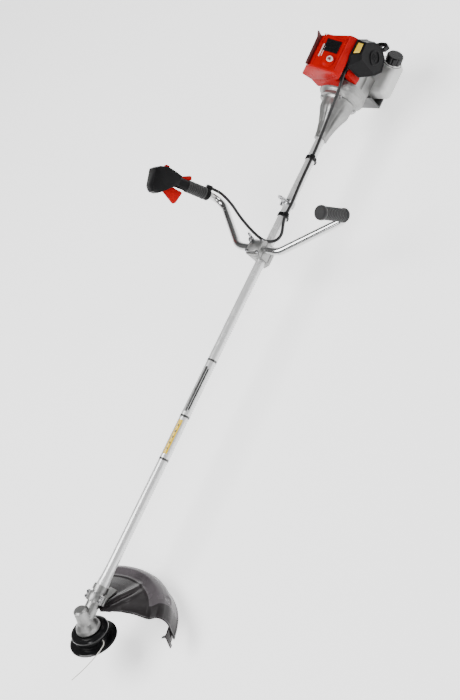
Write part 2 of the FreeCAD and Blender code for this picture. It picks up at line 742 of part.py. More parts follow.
def flywheel():
    disc = turned([(-527, 12), (-527, 40), (-531, 44), (-531, FAN_R), (-534, FAN_R), (-534, 54), (-541, 54),
                   (-541, JOURNAL_R), (-522, JOURNAL_R), (-522, 12)], V(0, 0, 0), V(1, 0, 0))
    blade = box(-531.5, -526, 34, FAN_R - 1, -1.2, 1.2)
    pins = [cyl(3.0, 39, V(-531, 9, -SHOE_PIVOT_R)), cyl(3.0, 39, V(-531, -9, SHOE_PIVOT_R))]
    blades = spun(blade, 12, V(0, 0, 0), V(1, 0, 0))
    return fuse([disc] + blades + pins)


def crankcase():
    shell = cyl(44, 88, V(-640, 0, 0))
    flare = turned([(-552, 0), (-552, 58), (-562, 44), (-562, 0)], V(0, 0, 0), V(1, 0, 0))
    deck = box(-634, -566, -32, 32, 0, 44)
    foot = box(-630, -566, -34, 34, -61.5, -20)
    body = fuse([shell, flare, deck, foot])
    hollows = [
        cyl(33, 40, V(-620, 0, 0)),
        cyl(16, 9, V(-579, 0, 0)),
        cyl(16, 14, V(-634, 0, 0)),
        cyl(9, 120, V(-650, 0, 0)),
        cyl(24.05, 60, V(PISTON_X, 0, 0), V(0, 0, 1)),
    ]
    return cut(body, hollows)


def crankshaft():
    front = cyl(JOURNAL_R, 80, V(-583, 0, 0))
    front_web = cyl(27, 11, V(-593, 0, 0))
    front_stub = cyl(6, 1.6, V(-594.4, 0, -THROW))
    rear_web = cyl(27, 11, V(-618, 0, 0))
    rear = cyl(JOURNAL_R, 27, V(-644, 0, 0))
    rear_end = cyl(5, 22, V(-664, 0, 0))
    rear_stub = cyl(6, 1.6, V(-607.2, 0, -THROW))
    trims = [box(-620, -580, -12, 12, 12, 40)]
    front_half = fuse([front, front_web, front_stub])
    rear_half = fuse([rear_web, rear, rear_end, rear_stub])
    return group([cut(front_half, trims), cut(rear_half, trims)])


def piston():
    pin_z = -THROW + ROD_LENGTH
    body = cyl(BORE_R - RUN, 36, V(PISTON_X, 0, pin_z - 15), V(0, 0, 1))
    hollow = cyl(BORE_R - 3, 30, V(PISTON_X, 0, pin_z - 16), V(0, 0, 1))
    bosses = box(PISTON_X - 19, PISTON_X + 19, -6, 6, pin_z - 8, pin_z + 16)
    bosses = bosses.common(cyl(BORE_R - 1, 40, V(PISTON_X, 0, pin_z - 15), V(0, 0, 1)))
    bosses = bosses.cut(box(PISTON_X - 6, PISTON_X + 6, -10, 10, pin_z - 12, pin_z + 14))
    body = body.cut(hollow).fuse(bosses)
    pin_bore = cyl(5, 60, V(PISTON_X - 30, 0, pin_z), V(1, 0, 0))
    grooves = [ring(BORE_R + 1, BORE_R - 1.6, 1.6, V(PISTON_X, 0, pin_z + 10 + 4 * i), V(0, 0, 1)) for i in range(2)]
    body = cut(body, [pin_bore] + grooves)
    rings = [ring(BORE_R - 0.02, BORE_R - 1.6, 1.6, V(PISTON_X, 0, pin_z + 10 + 4 * i), V(0, 0, 1)) for i in range(2)]
    wrist_pin = ring(5, 3, 36, V(PISTON_X - 18, 0, pin_z), V(1, 0, 0))
    return group([body, wrist_pin] + rings)


def connecting_rod():
    top = V(PISTON_X - 5, 0, -THROW + ROD_LENGTH)
    low = V(PISTON_X - 5, 0, -THROW)
    small_end = cyl(8.0, 10, top)
    big_end = cyl(11.5, 10, low)
    shank = box(PISTON_X - 3, PISTON_X + 3, -5, 5, -THROW + 8, -THROW + ROD_LENGTH - 5)
    body = fuse([small_end, big_end, shank])
    body = cut(body, [cyl(5, 20, top - V(5, 0, 0)), cyl(6, 20, low - V(5, 0, 0))])
    crank_pin = cyl(6, 11, low - V(0.5, 0, 0))
    return group([body, crank_pin])


def cylinder():
    skirt = cyl(24, 18, V(PISTON_X, 0, 28.2), V(0, 0, 1))
    flange = box(-630, -570, -30, 30, 44, 50)
    barrel = cyl(25, 70, V(PISTON_X, 0, 44), V(0, 0, 1))
    fins = []
    for i in range(10):
        z = 56 + 7.5 * i
        half = 37 if i < 7 else 37 - 3.4 * (i - 6)
        fins.append(box(PISTON_X - half, PISTON_X + half, -half + 3, half - 7, z, z + 2.2))
    dome = cyl(24, 20, V(PISTON_X, 0, 108), V(0, 0, 1))
    intake = box(-614, -586, 20, 34, 66, 92)
    exhaust = box(-614, -586, -38, -20, 60, 90)
    body = fuse([skirt, flange, barrel, dome, intake, exhaust] + fins)
    hollows = [
        cyl(BORE_R, 76, V(PISTON_X, 0, 27), V(0, 0, 1)),
        cyl(5.0, 40, V(PISTON_X, 0, 95), V(0, 0, 1)),
        cyl(8, 30, V(PISTON_X, 12, 79), V(0, 1, 0)),
        cyl(9, 30, V(PISTON_X, -42, 75), V(0, 1, 0)),
    ]
    return cut(body, hollows)


def spark_plug():
    profile = [(103, 0), (103, 3), (105, 5), (128, 5), (128, 10.5), (138, 10.5), (138, 6), (150, 5), (150, 3),
               (156, 3), (156, 0)]
    return turned(profile, V(PISTON_X, 0, 0), V(0, 0, 1))


def ignition_module():
    """The coil beside the flywheel, its lead, and the boot on the spark plug."""
    coil = box(-546, -528, 25, 40.5, 66, 88)
    points = [V(-537, 35, 88), V(-537, 35, 110), V(-544, 32, 132), V(-560, 16, 147), V(-587, 2, 152)]
    wire, radii = rounded_path(points)
    lead = swept(wire, 2.5)
    boot = cyl(7.5, 20, V(-607, 0, 152), V(1, 0, 0))
    boot_leg = cyl(8.5, 20, V(PISTON_X, 0, 139), V(0, 0, 1))
    boot = fuse([boot, boot_leg])
    boot = boot.cut(turned([(138, 0), (138, 6), (150, 5), (150, 3), (156, 3), (156, 0)], V(PISTON_X, 0, 0),
                           V(0, 0, 1)))
    return group([coil, lead.cut(boot).cut(coil), boot])


def muffler():
    """The silencer box on the right, with its outlet and a slotted heat shield on two studs."""
    body = soft_box(-634, -568, -66, -40, 46, 96, 6)
    neck = cyl(14, 6, V(PISTON_X, -44, 75), V(0, 1, 0))
    outlet = cyl(5, 14, V(-630, -54, 60), V(-1, 0, 0))
    bore = cyl(3.5, 30, V(-622, -54, 60), V(-1, 0, 0))
    shield = box(-636, -566, -72, -69.5, 44, 98)
    for low in (52, 61, 77, 86):
        shield = shield.cut(box(-630, -572, -76, -69, low, low + 4))
    studs = [cyl(3, 9, V(x, -73.5, 71), V(0, 1, 0)) for x in (-620, -580)]
    return cut(fuse([body, neck, outlet, shield] + studs), [bore])


def carburettor():
    insulator = box(-614, -586, 34.2, 44, 66, 92)
    body = box(-618, -582, 44, 66, 60, 98)
    bowl = cyl(13, 8, V(PISTON_X, 55, 52), V(0, 0, 1))
    shape = fuse([insulator, body, bowl])
    hollows = [
        cyl(8, 60, V(PISTON_X, 20, 79), V(0, 1, 0)),
        cyl(3.0 + RUN, 60, V(PISTON_X, 54, 92), V(0, 0, 1)),
    ]
    return cut(shape, hollows)


def throttle_lever():
    """The carburettor's lever, which the cable pulls."""
    shaft = cyl(3.0, 14, V(PISTON_X, 54, 92.5), V(0, 0, 1))
    arm = box(PISTON_X - 4, PISTON_X + 20, 50, 58, 100, 102.5)
    return fuse([shaft, arm])


def box_outline(y, grow):
    """The air filter box's eight-sided outline, seen from the operator's left."""
    points = [(-587, 98), (-600, 108), (-636, 110), (-659, 82), (-664, 46), (-648, 16), (-612, 6), (-588, 24)]
    centre_x = -625
    centre_z = 58
    return [V(centre_x + (x - centre_x) * grow, y, centre_z + (z - centre_z) * grow) for x, z in points]


def filter_base():
    outline = box_outline(70, 0.97)
    plate = Part.Face(Part.makePolygon(outline + [outline[0]])).extrude(V(0, 8.8, 0))
    plate = plate.common(box(-700, -560, 60, 90, 0, 97))
    lug = box(-618, -582, 66, 72, 62, 96)
    mouth = cyl(8, 20, V(PISTON_X, 60, 79), V(0, 1, 0))
    pocket = box(-650, -606, 74, 90, 30, 88)
    return cut(fuse([plate, lug]), [mouth, pocket])


def filter_element():
    return box(-644, -608, 79.2, 98, 32, 86)


def filter_cover():
    inner_ring = [V(-558, 79, 106), V(-590, 79, 118), V(-644, 79, 116), V(-668, 79, 84), V(-668, 79, 44),
                  V(-652, 79, 12), V(-600, 79, 4), V(-562, 79, 50)]
    outer_ring = box_outline(113, 1.0)
    wires = [Part.makePolygon(inner_ring + [inner_ring[0]]), Part.makePolygon(outer_ring + [outer_ring[0]])]
    body = Part.makeLoft(wires, True, True)
    small_inner = [V(-625 + (p.x + 625) * 0.93, 78, 60 + (p.z - 60) * 0.93) for p in inner_ring]
    small_outer = [V(-625 + (p.x + 625) * 0.90, 110, 60 + (p.z - 60) * 0.90) for p in outer_ring]
    wires = [Part.makePolygon(small_inner + [small_inner[0]]), Part.makePolygon(small_outer + [small_outer[0]])]
    return body.cut(Part.makeLoft(wires, True, True))


def choke_lever():
    shaft = cyl(2.5, 5, CHOKE_PIVOT, V(-1, 0, 0))
    arm = box(-626, -623, 51, 59, 40, 70)
    return fuse([shaft, arm])


def cover_section(shrink):
    points = [(-40, 98), (-56, 128), (-14, 164), (2, 170), (72, 136), (78, 112), (62, 98)]
    centre_y = 6.0
    centre_z = 110.0
    result = []
    for y, z in points:
        length = math.hypot(y - centre_y, z - centre_z)
        scale = (length - shrink) / length
        result.append((centre_y + (y - centre_y) * scale, centre_z + (z - centre_z) * scale))
    return result


def top_cover():
    front = -518.0
    rear = -648.0
    outer = prism([(rear, y, z) for y, z in cover_section(0)], V(front - rear, 0, 0))
    inner = prism([(rear - 5, y, z) for y, z in cover_section(3.0)], V(front - rear + 2, 0, 0))
    fin = prism([(-518, -7, 160), (-518, -7, 178), (-606, -7, 182), (-621, -7, 190), (-614, -7, 160)], V(0, 7, 0))
    body = outer.cut(inner)
    body = body.cut(box(-700, -500, -60, 60, 70, 101.5))
    rear_slope = prism([(-660, -70, 200), (-600, -70, 200), (-652, -70, 120), (-660, -70, 120)], V(0, 200, 0))
    body = body.cut(rear_slope)
    grille = [box(-610 + 14 * i, -602 + 14 * i, 20, 60, 130, 190) for i in range(3)]
    return fuse([cut(body, grille), fin])


def lower_shroud():
    """Red ducting between the fan and the cylinder: a front plate and a round-backed left wall."""
    bulge = cyl(17, 52, V(-569, 48, 28), V(0, 0, 1))
    wall = box(-566, -553, 40, 63, 28, 80)
    inner = cyl(14, 60, V(-569, 48, 24), V(0, 0, 1))
    room = box(-610, -550, 0, 46, 20, 90)
    back = box(-620, -581.5, 0, 80, 0, 100)
    flare_room = cyl(58.6, 14, V(-564, 0, 0))
    duct = cut(fuse([bulge, wall]), [inner, room, back, flare_room, box(-566, -556, 30, 60, 20, 90)])
    front = box(-534, -524, -46, 44, 60, 94)
    front = front.cut(cyl(FAN_R + 7.2, 40, V(-560, 0, 0)))
    front = front.cut(box(-540, -526.4, -43, 41, 50, 91))
    return group([duct] + front.Solids)


def starter_housing():
    body = turned([(-640.3, 0), (-640.3, 46), (-646, 54), (-652, 57), (-690, 57), (-698, 48), (-702, 30), (-702, 0)],
                  V(0, 0, 0), V(1, 0, 0))
    hollows = [
        turned([(-640, 0), (-640, 40), (-650, 53), (-689, 53), (-695, 45), (-698, 28), (-698, 0)], V(0, 0, 0),
               V(1, 0, 0)),
        cyl(4.5, 40, V(REEL_X, 30, ROPE_Z), V(0, 1, 0)),
    ]
    for i in range(10):
        vent = box(-710, -690, 34, 44, -3, 3)
        vent.rotate(V(0, 0, 0), V(1, 0, 0), 36 * i + 18)
        hollows.append(vent)
    post = cyl(5.0, 28, V(-700, 0, 0))
    return fuse([cut(body, hollows), post])


def starter_reel():
    profile = [(REEL_X - 8, 5 + RUN), (REEL_X - 8, 34), (REEL_X - 6, 34), (REEL_X - 4, 24), (REEL_X + 4, 24),
               (REEL_X + 6, 34), (REEL_X + 8, 34), (REEL_X + 8, 22), (REEL_X + 3, 20), (REEL_X + 3, 5 + RUN)]
    body = turned(profile, V(0, 0, 0), V(1, 0, 0))
    rope = ring(ROPE_COIL_R, 24.2, 7, V(REEL_X - 3.5, 0, 0))
    return group([body, rope])


def starter_handle():
    """A flat loop for two fingers, lengthwise on the rope's line."""
    outline = [(-7, 62), (-13, 90), (-11, 110), (0, 119), (11, 110), (13, 90), (7, 62)]
    body = prism([(REEL_X + x, y, ROPE_Z - 8) for x, y in outline], V(0, 0, 16))
    opening = [(-7, 90), (-6, 106), (0, 111), (6, 106), (7, 90), (0, 82)]
    return body.cut(prism([(REEL_X + x, y, ROPE_Z - 10) for x, y in opening], V(0, 0, 20)))


def starter_rope():
    return cyl(2.0, 53.8, V(REEL_X, 8, ROPE_Z), V(0, 1, 0))


# ---------------------------------------------------------------- fuel tank and stand

def fuel_tank():
    body = soft_box(TANK_REAR_X, -598, -66, 77, TANK_LOW, -62, 15)
    neck = cyl(17, 44, FILLER_BASE - FILLER_DIR * 20, FILLER_DIR)
    outer = fuse([body, neck])
    cap_seat = FILLER_BASE + FILLER_DIR * (CAP_START - 0.4)
    recess = ring(25.6, 17, 60, cap_seat, FILLER_DIR)
    inner = soft_box(TANK_REAR_X + 3, -601, -63, 74, TANK_LOW + 3, -65, 12)
    inner = inner.cut(cyl(28.6, 60, cap_seat - FILLER_DIR * 3, FILLER_DIR))
    bore = cyl(13.5, 60, FILLER_BASE - FILLER_DIR * 30, FILLER_DIR)
    return cut(outer, [recess, inner, bore])


def fuel_cap():
    base = FILLER_BASE + FILLER_DIR * CAP_START
    side = V(0, 0, 1).cross(FILLER_DIR).normalize()
    profile = [(0, 17.4), (0, 25), (21, 25), (24, 22), (24, 0), (2, 0), (2, 13.4), (11, 13.4), (11, 17.4)]
    shell = turned(profile, base, FILLER_DIR)
    flutes = []
    for i in range(10):
        flute = cyl(4.4, 40, base + side * 27.4 - FILLER_DIR * 5, FILLER_DIR)
        flute.rotate(base, FILLER_DIR, 36 * i)
        flutes.append(flute)
    return cut(shell, flutes)


def stand_plate():
    plate = prism([(-574, -43, -120), (-574, 43, -120), (-690, 43, -120), (-690, -43, -120)], V(0, 0, 5))
    heel = box(-578, -574, -43, 43, -120, -66)
    strut = box(-597, -574, -30, 30, -68, -64)
    return fuse([plate, heel, strut])


NODES = {
    "shaft_tube": shaft_tube,
    "shaft_bushings": shaft_bushings,
    "drive_shaft": drive_shaft,
    "gear_case": gear_case,
    "ball_bearings": ball_bearings,
    "bevel_pinion": bevel_pinion,
    "crown_gear": crown_gear,
    "output_spindle": output_spindle,
    "head_housing": head_housing,
    "head_cover": head_cover,
    "spool": spool,
    "spool_spring": spool_spring,
    "bump_knob": bump_knob,
    "cutting_line": cutting_line,
    "guard_bracket": guard_bracket,
    "guard_shell": guard_shell,
    "guard_skirt": guard_skirt,
    "line_cutter": line_cutter,
    "bracket_base": bracket_base,
    "bar_cap": bar_cap,
    "socket_screws": socket_screws,
    "clamp_knob": clamp_knob,
    "handlebar": handlebar,
    "left_grip": left_grip,
    "throttle_housing": throttle_housing,
    "throttle_trigger": throttle_trigger,
    "lockout_lever": lockout_lever,
    "stop_switch": stop_switch,
    "throttle_cable": throttle_cable,
    "cable_clips": cable_clips,
    "harness_eye": harness_eye,
    "clutch_housing": clutch_housing,
    "clutch_drum": clutch_drum,
    "clutch_shoe_a": clutch_shoe_a,
    "clutch_shoe_b": clutch_shoe_b,
    "fan_housing": fan_housing,
    "flywheel": flywheel,
    "crankcase": crankcase,
    "crankshaft": crankshaft,
    "piston": piston,
    "connecting_rod": connecting_rod,
    "cylinder": cylinder,
    "spark_plug": spark_plug,
    "ignition_module": ignition_module,
    "muffler": muffler,
    "carburettor": carburettor,
    "throttle_lever": throttle_lever,
    "filter_base": filter_base,
    "filter_element": filter_element,
    "filter_cover": filter_cover,
    "choke_lever": choke_lever,
    "top_cover": top_cover,
    "lower_shroud": lower_shroud,
    "starter_housing": starter_housing,
    "starter_reel": starter_reel,
    "starter_handle": starter_handle,
    "starter_rope": starter_rope,
    "fuel_tank": fuel_tank,
    "fuel_cap": fuel_cap,
    "stand_plate": stand_plate,
}


def main():
    os.makedirs("parts", exist_ok=True)
    for name, make in NODES.items():
        shape = make()
        solids = shape.Solids
        valid = all(solid.isValid() for solid in solids)
        print(name, len(solids), "solids", "ok" if valid else "INVALID", round(sum(s.Volume for s in solids)))
        shape.exportStep("parts/" + name + ".step")


main()
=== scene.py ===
"""A petrol string trimmer with a U handlebar, shown on a pale floor.

Lengths are in metres in the machine's frame: +X runs along the shaft tube to the cutting head, +Y is the
operator's left and +Z is up. Points that are easier to read in millimetres go through mm().
"""
import json
import math

import bmesh
import bpy
from mathutils import Matrix, Vector


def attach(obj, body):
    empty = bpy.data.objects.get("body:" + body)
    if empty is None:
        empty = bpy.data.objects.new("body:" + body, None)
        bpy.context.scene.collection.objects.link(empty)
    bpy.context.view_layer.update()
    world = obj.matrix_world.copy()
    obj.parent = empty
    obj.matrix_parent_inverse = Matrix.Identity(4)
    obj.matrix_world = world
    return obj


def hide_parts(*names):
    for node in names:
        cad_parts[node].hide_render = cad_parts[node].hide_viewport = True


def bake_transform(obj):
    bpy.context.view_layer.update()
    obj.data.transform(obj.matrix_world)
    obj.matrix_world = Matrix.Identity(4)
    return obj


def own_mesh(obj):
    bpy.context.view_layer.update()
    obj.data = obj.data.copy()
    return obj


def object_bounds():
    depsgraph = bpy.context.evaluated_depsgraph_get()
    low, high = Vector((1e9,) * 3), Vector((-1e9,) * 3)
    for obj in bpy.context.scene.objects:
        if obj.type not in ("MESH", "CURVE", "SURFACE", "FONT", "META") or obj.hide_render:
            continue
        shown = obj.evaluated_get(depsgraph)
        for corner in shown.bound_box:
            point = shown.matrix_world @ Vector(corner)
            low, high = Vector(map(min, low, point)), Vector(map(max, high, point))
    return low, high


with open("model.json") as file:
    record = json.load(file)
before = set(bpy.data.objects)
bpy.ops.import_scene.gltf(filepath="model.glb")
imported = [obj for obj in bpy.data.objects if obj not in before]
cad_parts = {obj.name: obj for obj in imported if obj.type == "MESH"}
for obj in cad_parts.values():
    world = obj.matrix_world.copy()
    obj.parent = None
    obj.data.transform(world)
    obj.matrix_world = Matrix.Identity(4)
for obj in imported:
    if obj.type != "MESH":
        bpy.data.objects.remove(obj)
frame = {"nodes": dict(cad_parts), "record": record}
CAD_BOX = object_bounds()

MM = 0.001
HEAD_CROSSING = Vector((1.113, 0.0, 0.0))      # where the spindle's axis meets the shaft's axis
HEAD_TILT = math.radians(59.4)
TUBE_R = 0.014
ARM_CORNER = Vector((-0.145, -0.254, 0.012))   # the handlebar's right corner, under the throttle grip
GRIP_UP = Vector((0.216, -0.23, 0.949)).normalized()
LEFT_CORNER = Vector((-0.145, 0.254, 0.012))
LEFT_UP = Vector((0.45, 0.01, 0.89)).normalized()
LEFT_REACH = 0.126                             # from the left corner to the end of the bar


def mm(x, y, z):
    return Vector((x * MM, y * MM, z * MM))


def basis(x_dir, y_dir, z_dir, origin):
    """The matrix that carries a local frame to the machine's."""
    return Matrix((
        (x_dir.x, y_dir.x, z_dir.x, origin.x),
        (x_dir.y, y_dir.y, z_dir.y, origin.y),
        (x_dir.z, y_dir.z, z_dir.z, origin.z),
        (0, 0, 0, 1)))


SPINDLE_UP = Vector((-math.cos(HEAD_TILT), 0, math.sin(HEAD_TILT)))
HEAD = basis(Vector((math.sin(HEAD_TILT), 0, math.cos(HEAD_TILT))), Vector((0, 1, 0)), SPINDLE_UP, HEAD_CROSSING)
GRIP_FORWARD = (Vector((1, 0, 0)) - GRIP_UP * GRIP_UP.x).normalized()
THROTTLE = basis(GRIP_FORWARD, GRIP_UP.cross(GRIP_FORWARD), GRIP_UP, ARM_CORNER)
LEFT_SIDE = (Vector((0, 1, 0)) - LEFT_UP * LEFT_UP.y).normalized()
LEFT_GRIP = basis(LEFT_SIDE.cross(LEFT_UP), LEFT_SIDE, LEFT_UP, LEFT_CORNER)
ALONG_SHAFT = basis(Vector((0, 1, 0)), Vector((0, 0, 1)), Vector((1, 0, 0)), Vector((0, 0, 0)))


# ---------------------------------------------------------------- camera

CAMERA_PLACE = Vector((0.9133, 2.2534, 2.1152))
CAMERA_RIGHT = Vector((-0.4292, 0.6843, -0.5895))
CAMERA_DOWN = Vector((0.8814, 0.1746, -0.439))
CAMERA_FORWARD = Vector((-0.1975, -0.708, -0.6781))
SENSOR_WIDTH = 36.0           # millimetres
FOCAL_LENGTH = 58.53          # millimetres


def make_camera():
    data = bpy.data.cameras.new("camera")
    data.sensor_width = SENSOR_WIDTH
    data.lens = FOCAL_LENGTH
    data.clip_end = 50.0
    camera = bpy.data.objects.new("camera", data)
    camera.matrix_world = basis(CAMERA_RIGHT, -CAMERA_DOWN, -CAMERA_FORWARD, CAMERA_PLACE)
    bpy.context.scene.collection.objects.link(camera)
    bpy.context.scene.camera = camera


# ---------------------------------------------------------------- mesh helpers

MATERIALS = {}


def new_piece(name, shape, slot, body="frame", look=None, replaces=(), matrix=None, smooth=30.0):
    """A mesh piece from (vertices, faces) that rides on a body, or on none yet. It shows its record slot's
    material, unless look names another. Faces that meet under the smooth angle, in degrees, are shaded as one."""
    verts, faces = shape
    mesh = bpy.data.meshes.new(name)
    mesh.from_pydata([tuple(v) for v in verts], [], faces)
    mesh.validate()
    piece = bpy.data.objects.new(name, mesh)
    bpy.context.scene.collection.objects.link(piece)
    if matrix is not None:
        mesh.transform(matrix)
    tidy_normals(mesh)
    mesh.shade_smooth()
    mesh.set_sharp_from_angle(angle=math.radians(smooth))
    mesh.materials.append(MATERIALS[look or slot])
    if body:
        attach(piece, body)
    if replaces:
        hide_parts(*replaces)
    return piece


def tidy_normals(mesh):
    work = bmesh.new()
    work.from_mesh(mesh)
    bmesh.ops.remove_doubles(work, verts=work.verts, dist=1e-6)
    bmesh.ops.recalc_face_normals(work, faces=work.faces)
    work.to_mesh(mesh)
    work.free()


def bevel(piece, width, segments=3, angle=30.0):
    modifier = piece.modifiers.new("rounded edges", "BEVEL")
    modifier.width = width
    modifier.segments = segments
    modifier.limit_method = "ANGLE"
    modifier.angle_limit = math.radians(angle)
    modifier.harden_normals = True


def thicken(piece, thickness, offset=-1.0):
    modifier = piece.modifiers.new("wall", "SOLIDIFY")
    modifier.thickness = thickness
    modifier.offset = offset


def grid_faces(rows, columns):
    """Quads over a grid of points that are listed row by row."""
    return [[a, a + 1, a + columns + 1, a + columns]
            for i in range(rows - 1) for a in range(i * columns, (i + 1) * columns - 1)]


def ring_faces(rings, around, closed=False):
    """Quads between rings of points that are listed ring by ring. closed joins the last ring to the first."""
    faces = []
    for i in range(rings if closed else rings - 1):
        a = i * around
        b = (i + 1) % rings * around
        for j in range(around):
            k = (j + 1) % around
            faces.append([a + j, a + k, b + k, b + j])
    return faces


def lathe(profile, segments=64, shape=None):
    """A solid of revolution on Z. profile is (z, radius) pairs from the axis to the axis. shape(angle) scales the
    radius."""
    verts = []
    rings = []
    for z, radius in profile:
        if radius < 1e-7:
            rings.append([len(verts)])
            verts.append(Vector((0, 0, z)))
            continue
        ring = []
        for i in range(segments):
            angle = 2 * math.pi * i / segments
            r = radius * (shape(angle) if shape else 1.0)
            ring.append(len(verts))
            verts.append(Vector((r * math.cos(angle), r * math.sin(angle), z)))
        rings.append(ring)
    faces = []
    for a, b in zip(rings, rings[1:]):
        for i in range(segments):
            j = (i + 1) % segments
            corners = [a[i % len(a)], a[j % len(a)], b[j % len(b)], b[i % len(b)]]
            unique = list(dict.fromkeys(corners))
            if len(unique) > 2:
                faces.append(unique)
    return verts, faces


def hollow_lathe(profile, segments=64, shape=None):
    """As lathe, for a closed profile that never reaches the axis."""
    return lathe(profile + [profile[0]], segments, shape)


def prism(outline, depth):
    """The solid that an outline of points sweeps when it is moved by the vector depth."""
    count = len(outline)
    verts = list(outline) + [p + depth for p in outline]
    faces = [list(range(count)), list(range(2 * count - 1, count - 1, -1))]
    for i in range(count):
        j = (i + 1) % count
        faces.append([i, j, count + j, count + i])
    return verts, faces


def brick(low, high):
    """A box between two corners in millimetres."""
    low = Vector(low) * MM
    high = Vector(high) * MM
    corners = [Vector((low.x, y, z)) for y, z in ((low.y, low.z), (high.y, low.z), (high.y, high.z), (low.y, high.z))]
    return prism(corners, Vector((high.x - low.x, 0, 0)))


def joined(parts):
    """Several (vertices, faces) as one."""
    verts = []
    faces = []
    for part_verts, part_faces in parts:
        start = len(verts)
        verts.extend(part_verts)
        faces.extend([[start + i for i in face] for face in part_faces])
    return verts, faces


def tube_along(points, radius, sides=14, closed=False):
    """A round bar along a line of points in metres."""
    verts = []
    count = len(points)
    normal = None
    for i, point in enumerate(points):
        before = points[i - 1] if i or closed else points[0]
        after = points[(i + 1) % count] if i < count - 1 or closed else points[-1]
        tangent = (after - before).normalized()
        if normal is None:
            normal = tangent.orthogonal().normalized()
        normal = (normal - tangent * normal.dot(tangent)).normalized()
        other = tangent.cross(normal)
        for j in range(sides):
            angle = 2 * math.pi * j / sides
            verts.append(point + normal * radius * math.cos(angle) + other * radius * math.sin(angle))
    faces = ring_faces(count, sides, closed)
    if not closed:
        faces.append(list(range(sides))[::-1])
        faces.append([(count - 1) * sides + j for j in range(sides)])
    return verts, faces


def even_points(points, count):
    """count points at equal steps along a line of pairs, with the distance of each from the start."""
    lengths = [0.0]
    for a, b in zip(points, points[1:]):
        lengths.append(lengths[-1] + math.dist(a, b))
    result = []
    segment = 0
    for i in range(count):
        want = lengths[-1] * i / (count - 1)
        while segment < len(points) - 2 and lengths[segment + 1] < want:
            segment += 1
        share = (want - lengths[segment]) / (lengths[segment + 1] - lengths[segment])
        result.append((*mix_pair(points[segment], points[segment + 1], share), want))
    return result


def mix_pair(a, b, share):
    return a[0] + (b[0] - a[0]) * share, a[1] + (b[1] - a[1]) * share


# ---------------------------------------------------------------- materials

class Nodes:
    """A short way to write one material's node tree."""

    def __init__(self, name):
        self.material = bpy.data.materials.new(name)
        self.material.use_nodes = True
        self.tree = self.material.node_tree
        self.shader = self.tree.nodes["Principled BSDF"]
        coords = self.add("ShaderNodeTexCoord")
        self.coords = coords.outputs["Object"]

    def add(self, kind, **settings):
        node = self.tree.nodes.new(kind)
        for key, value in settings.items():
            setattr(node, key, value)
        return node

    def link(self, a, b):
        self.tree.links.new(a, b)

    def set(self, **sockets):
        for key, value in sockets.items():
            self.shader.inputs[key.replace("_", " ")].default_value = value

    def noise(self, scale, detail=4.0, roughness=0.55):
        node = self.add("ShaderNodeTexNoise")
        node.inputs["Scale"].default_value = scale
        node.inputs["Detail"].default_value = detail
        node.inputs["Roughness"].default_value = roughness
        self.link(self.coords, node.inputs["Vector"])
        return node.outputs["Fac"]

    def spread(self, value, low, high, start=0.3, end=0.7):
        """Maps start to low and end to high, and holds the ends."""
        node = self.add("ShaderNodeMapRange")
        node.inputs["From Min"].default_value = start
        node.inputs["From Max"].default_value = end
        node.inputs["To Min"].default_value = low
        node.inputs["To Max"].default_value = high
        self.link(value, node.inputs["Value"])
        return node.outputs["Result"]

    def mix(self, factor, a, b):
        node = self.add("ShaderNodeMix", data_type="RGBA")
        self.link(factor, node.inputs["Factor"])
        for socket, value in (("A", a), ("B", b)):
            target = [s for s in node.inputs if s.name == socket and s.type == "RGBA"][0]
            if isinstance(value, tuple):
                target.default_value = value
            else:
                self.link(value, target)
        return [s for s in node.outputs if s.type == "RGBA"][0]

    def edge(self, radius, low=0.02, high=0.25):
        """A mask that is 1 on outer and inner corners and 0 on flats."""
        rounded = self.add("ShaderNodeBevel", samples=4)
        rounded.inputs["Radius"].default_value = radius
        plain = self.add("ShaderNodeNewGeometry")
        dot = self.add("ShaderNodeVectorMath", operation="DOT_PRODUCT")
        self.link(rounded.outputs["Normal"], dot.inputs[0])
        self.link(plain.outputs["Normal"], dot.inputs[1])
        return self.spread(dot.outputs["Value"], 1.0, 0.0, 1.0 - high, 1.0 - low)

    def bump(self, height, strength, distance):
        node = self.add("ShaderNodeBump")
        node.inputs["Strength"].default_value = strength
        node.inputs["Distance"].default_value = distance
        self.link(height, node.inputs["Height"])
        self.link(node.outputs["Normal"], self.shader.inputs["Normal"])

    def paint(self, socket):
        self.link(socket, self.shader.inputs["Base Color"])

    def rough(self, socket):
        self.link(socket, self.shader.inputs["Roughness"])


def tone(color, factor):
    return tuple(min(1.0, c * factor) for c in color) + (1.0,)


def plastic(name, color, rough, grain, depth, coat=0.0, worn=1.8, gloss=0.5):
    """Moulded plastic: slight mottling, a spark-eroded grain and paler rubbed edges."""
    m = Nodes(name)
    m.set(Specular_IOR_Level=gloss, Coat_Weight=coat, Coat_Roughness=0.08)
    mottled = m.mix(m.spread(m.noise(35.0, 5.0), 0.0, 1.0), tone(color, 0.86), tone(color, 1.14))
    rubbed = m.noise(220.0, 3.0)
    edge = m.add("ShaderNodeMath", operation="MULTIPLY")
    m.link(m.edge(0.0012), edge.inputs[0])
    m.link(m.spread(rubbed, 0.0, 0.6), edge.inputs[1])
    m.paint(m.mix(edge.outputs["Value"], mottled, tone(color, worn)))
    m.rough(m.spread(m.noise(90.0, 5.0), rough * 0.8, rough * 1.25))
    m.bump(m.noise(grain, 3.0), 0.25, depth)
    return m.material


def metal(name, color, rough, grain, depth, worn=1.25, dirt=0.75):
    """Metal with machining or casting grain, duller stains in random patches and brighter edges."""
    m = Nodes(name)
    m.set(Metallic=1.0)
    stained = m.mix(m.spread(m.noise(28.0, 6.0), 0.0, 1.0), tone(color, dirt), tone(color, 1.0))
    m.paint(m.mix(m.edge(0.0008, 0.10, 0.40), stained, tone(color, worn)))
    m.rough(m.spread(m.noise(grain * 0.35, 6.0), rough * 0.75, rough * 1.3))
    m.bump(m.noise(grain, 5.0), 0.35, depth)
    return m.material


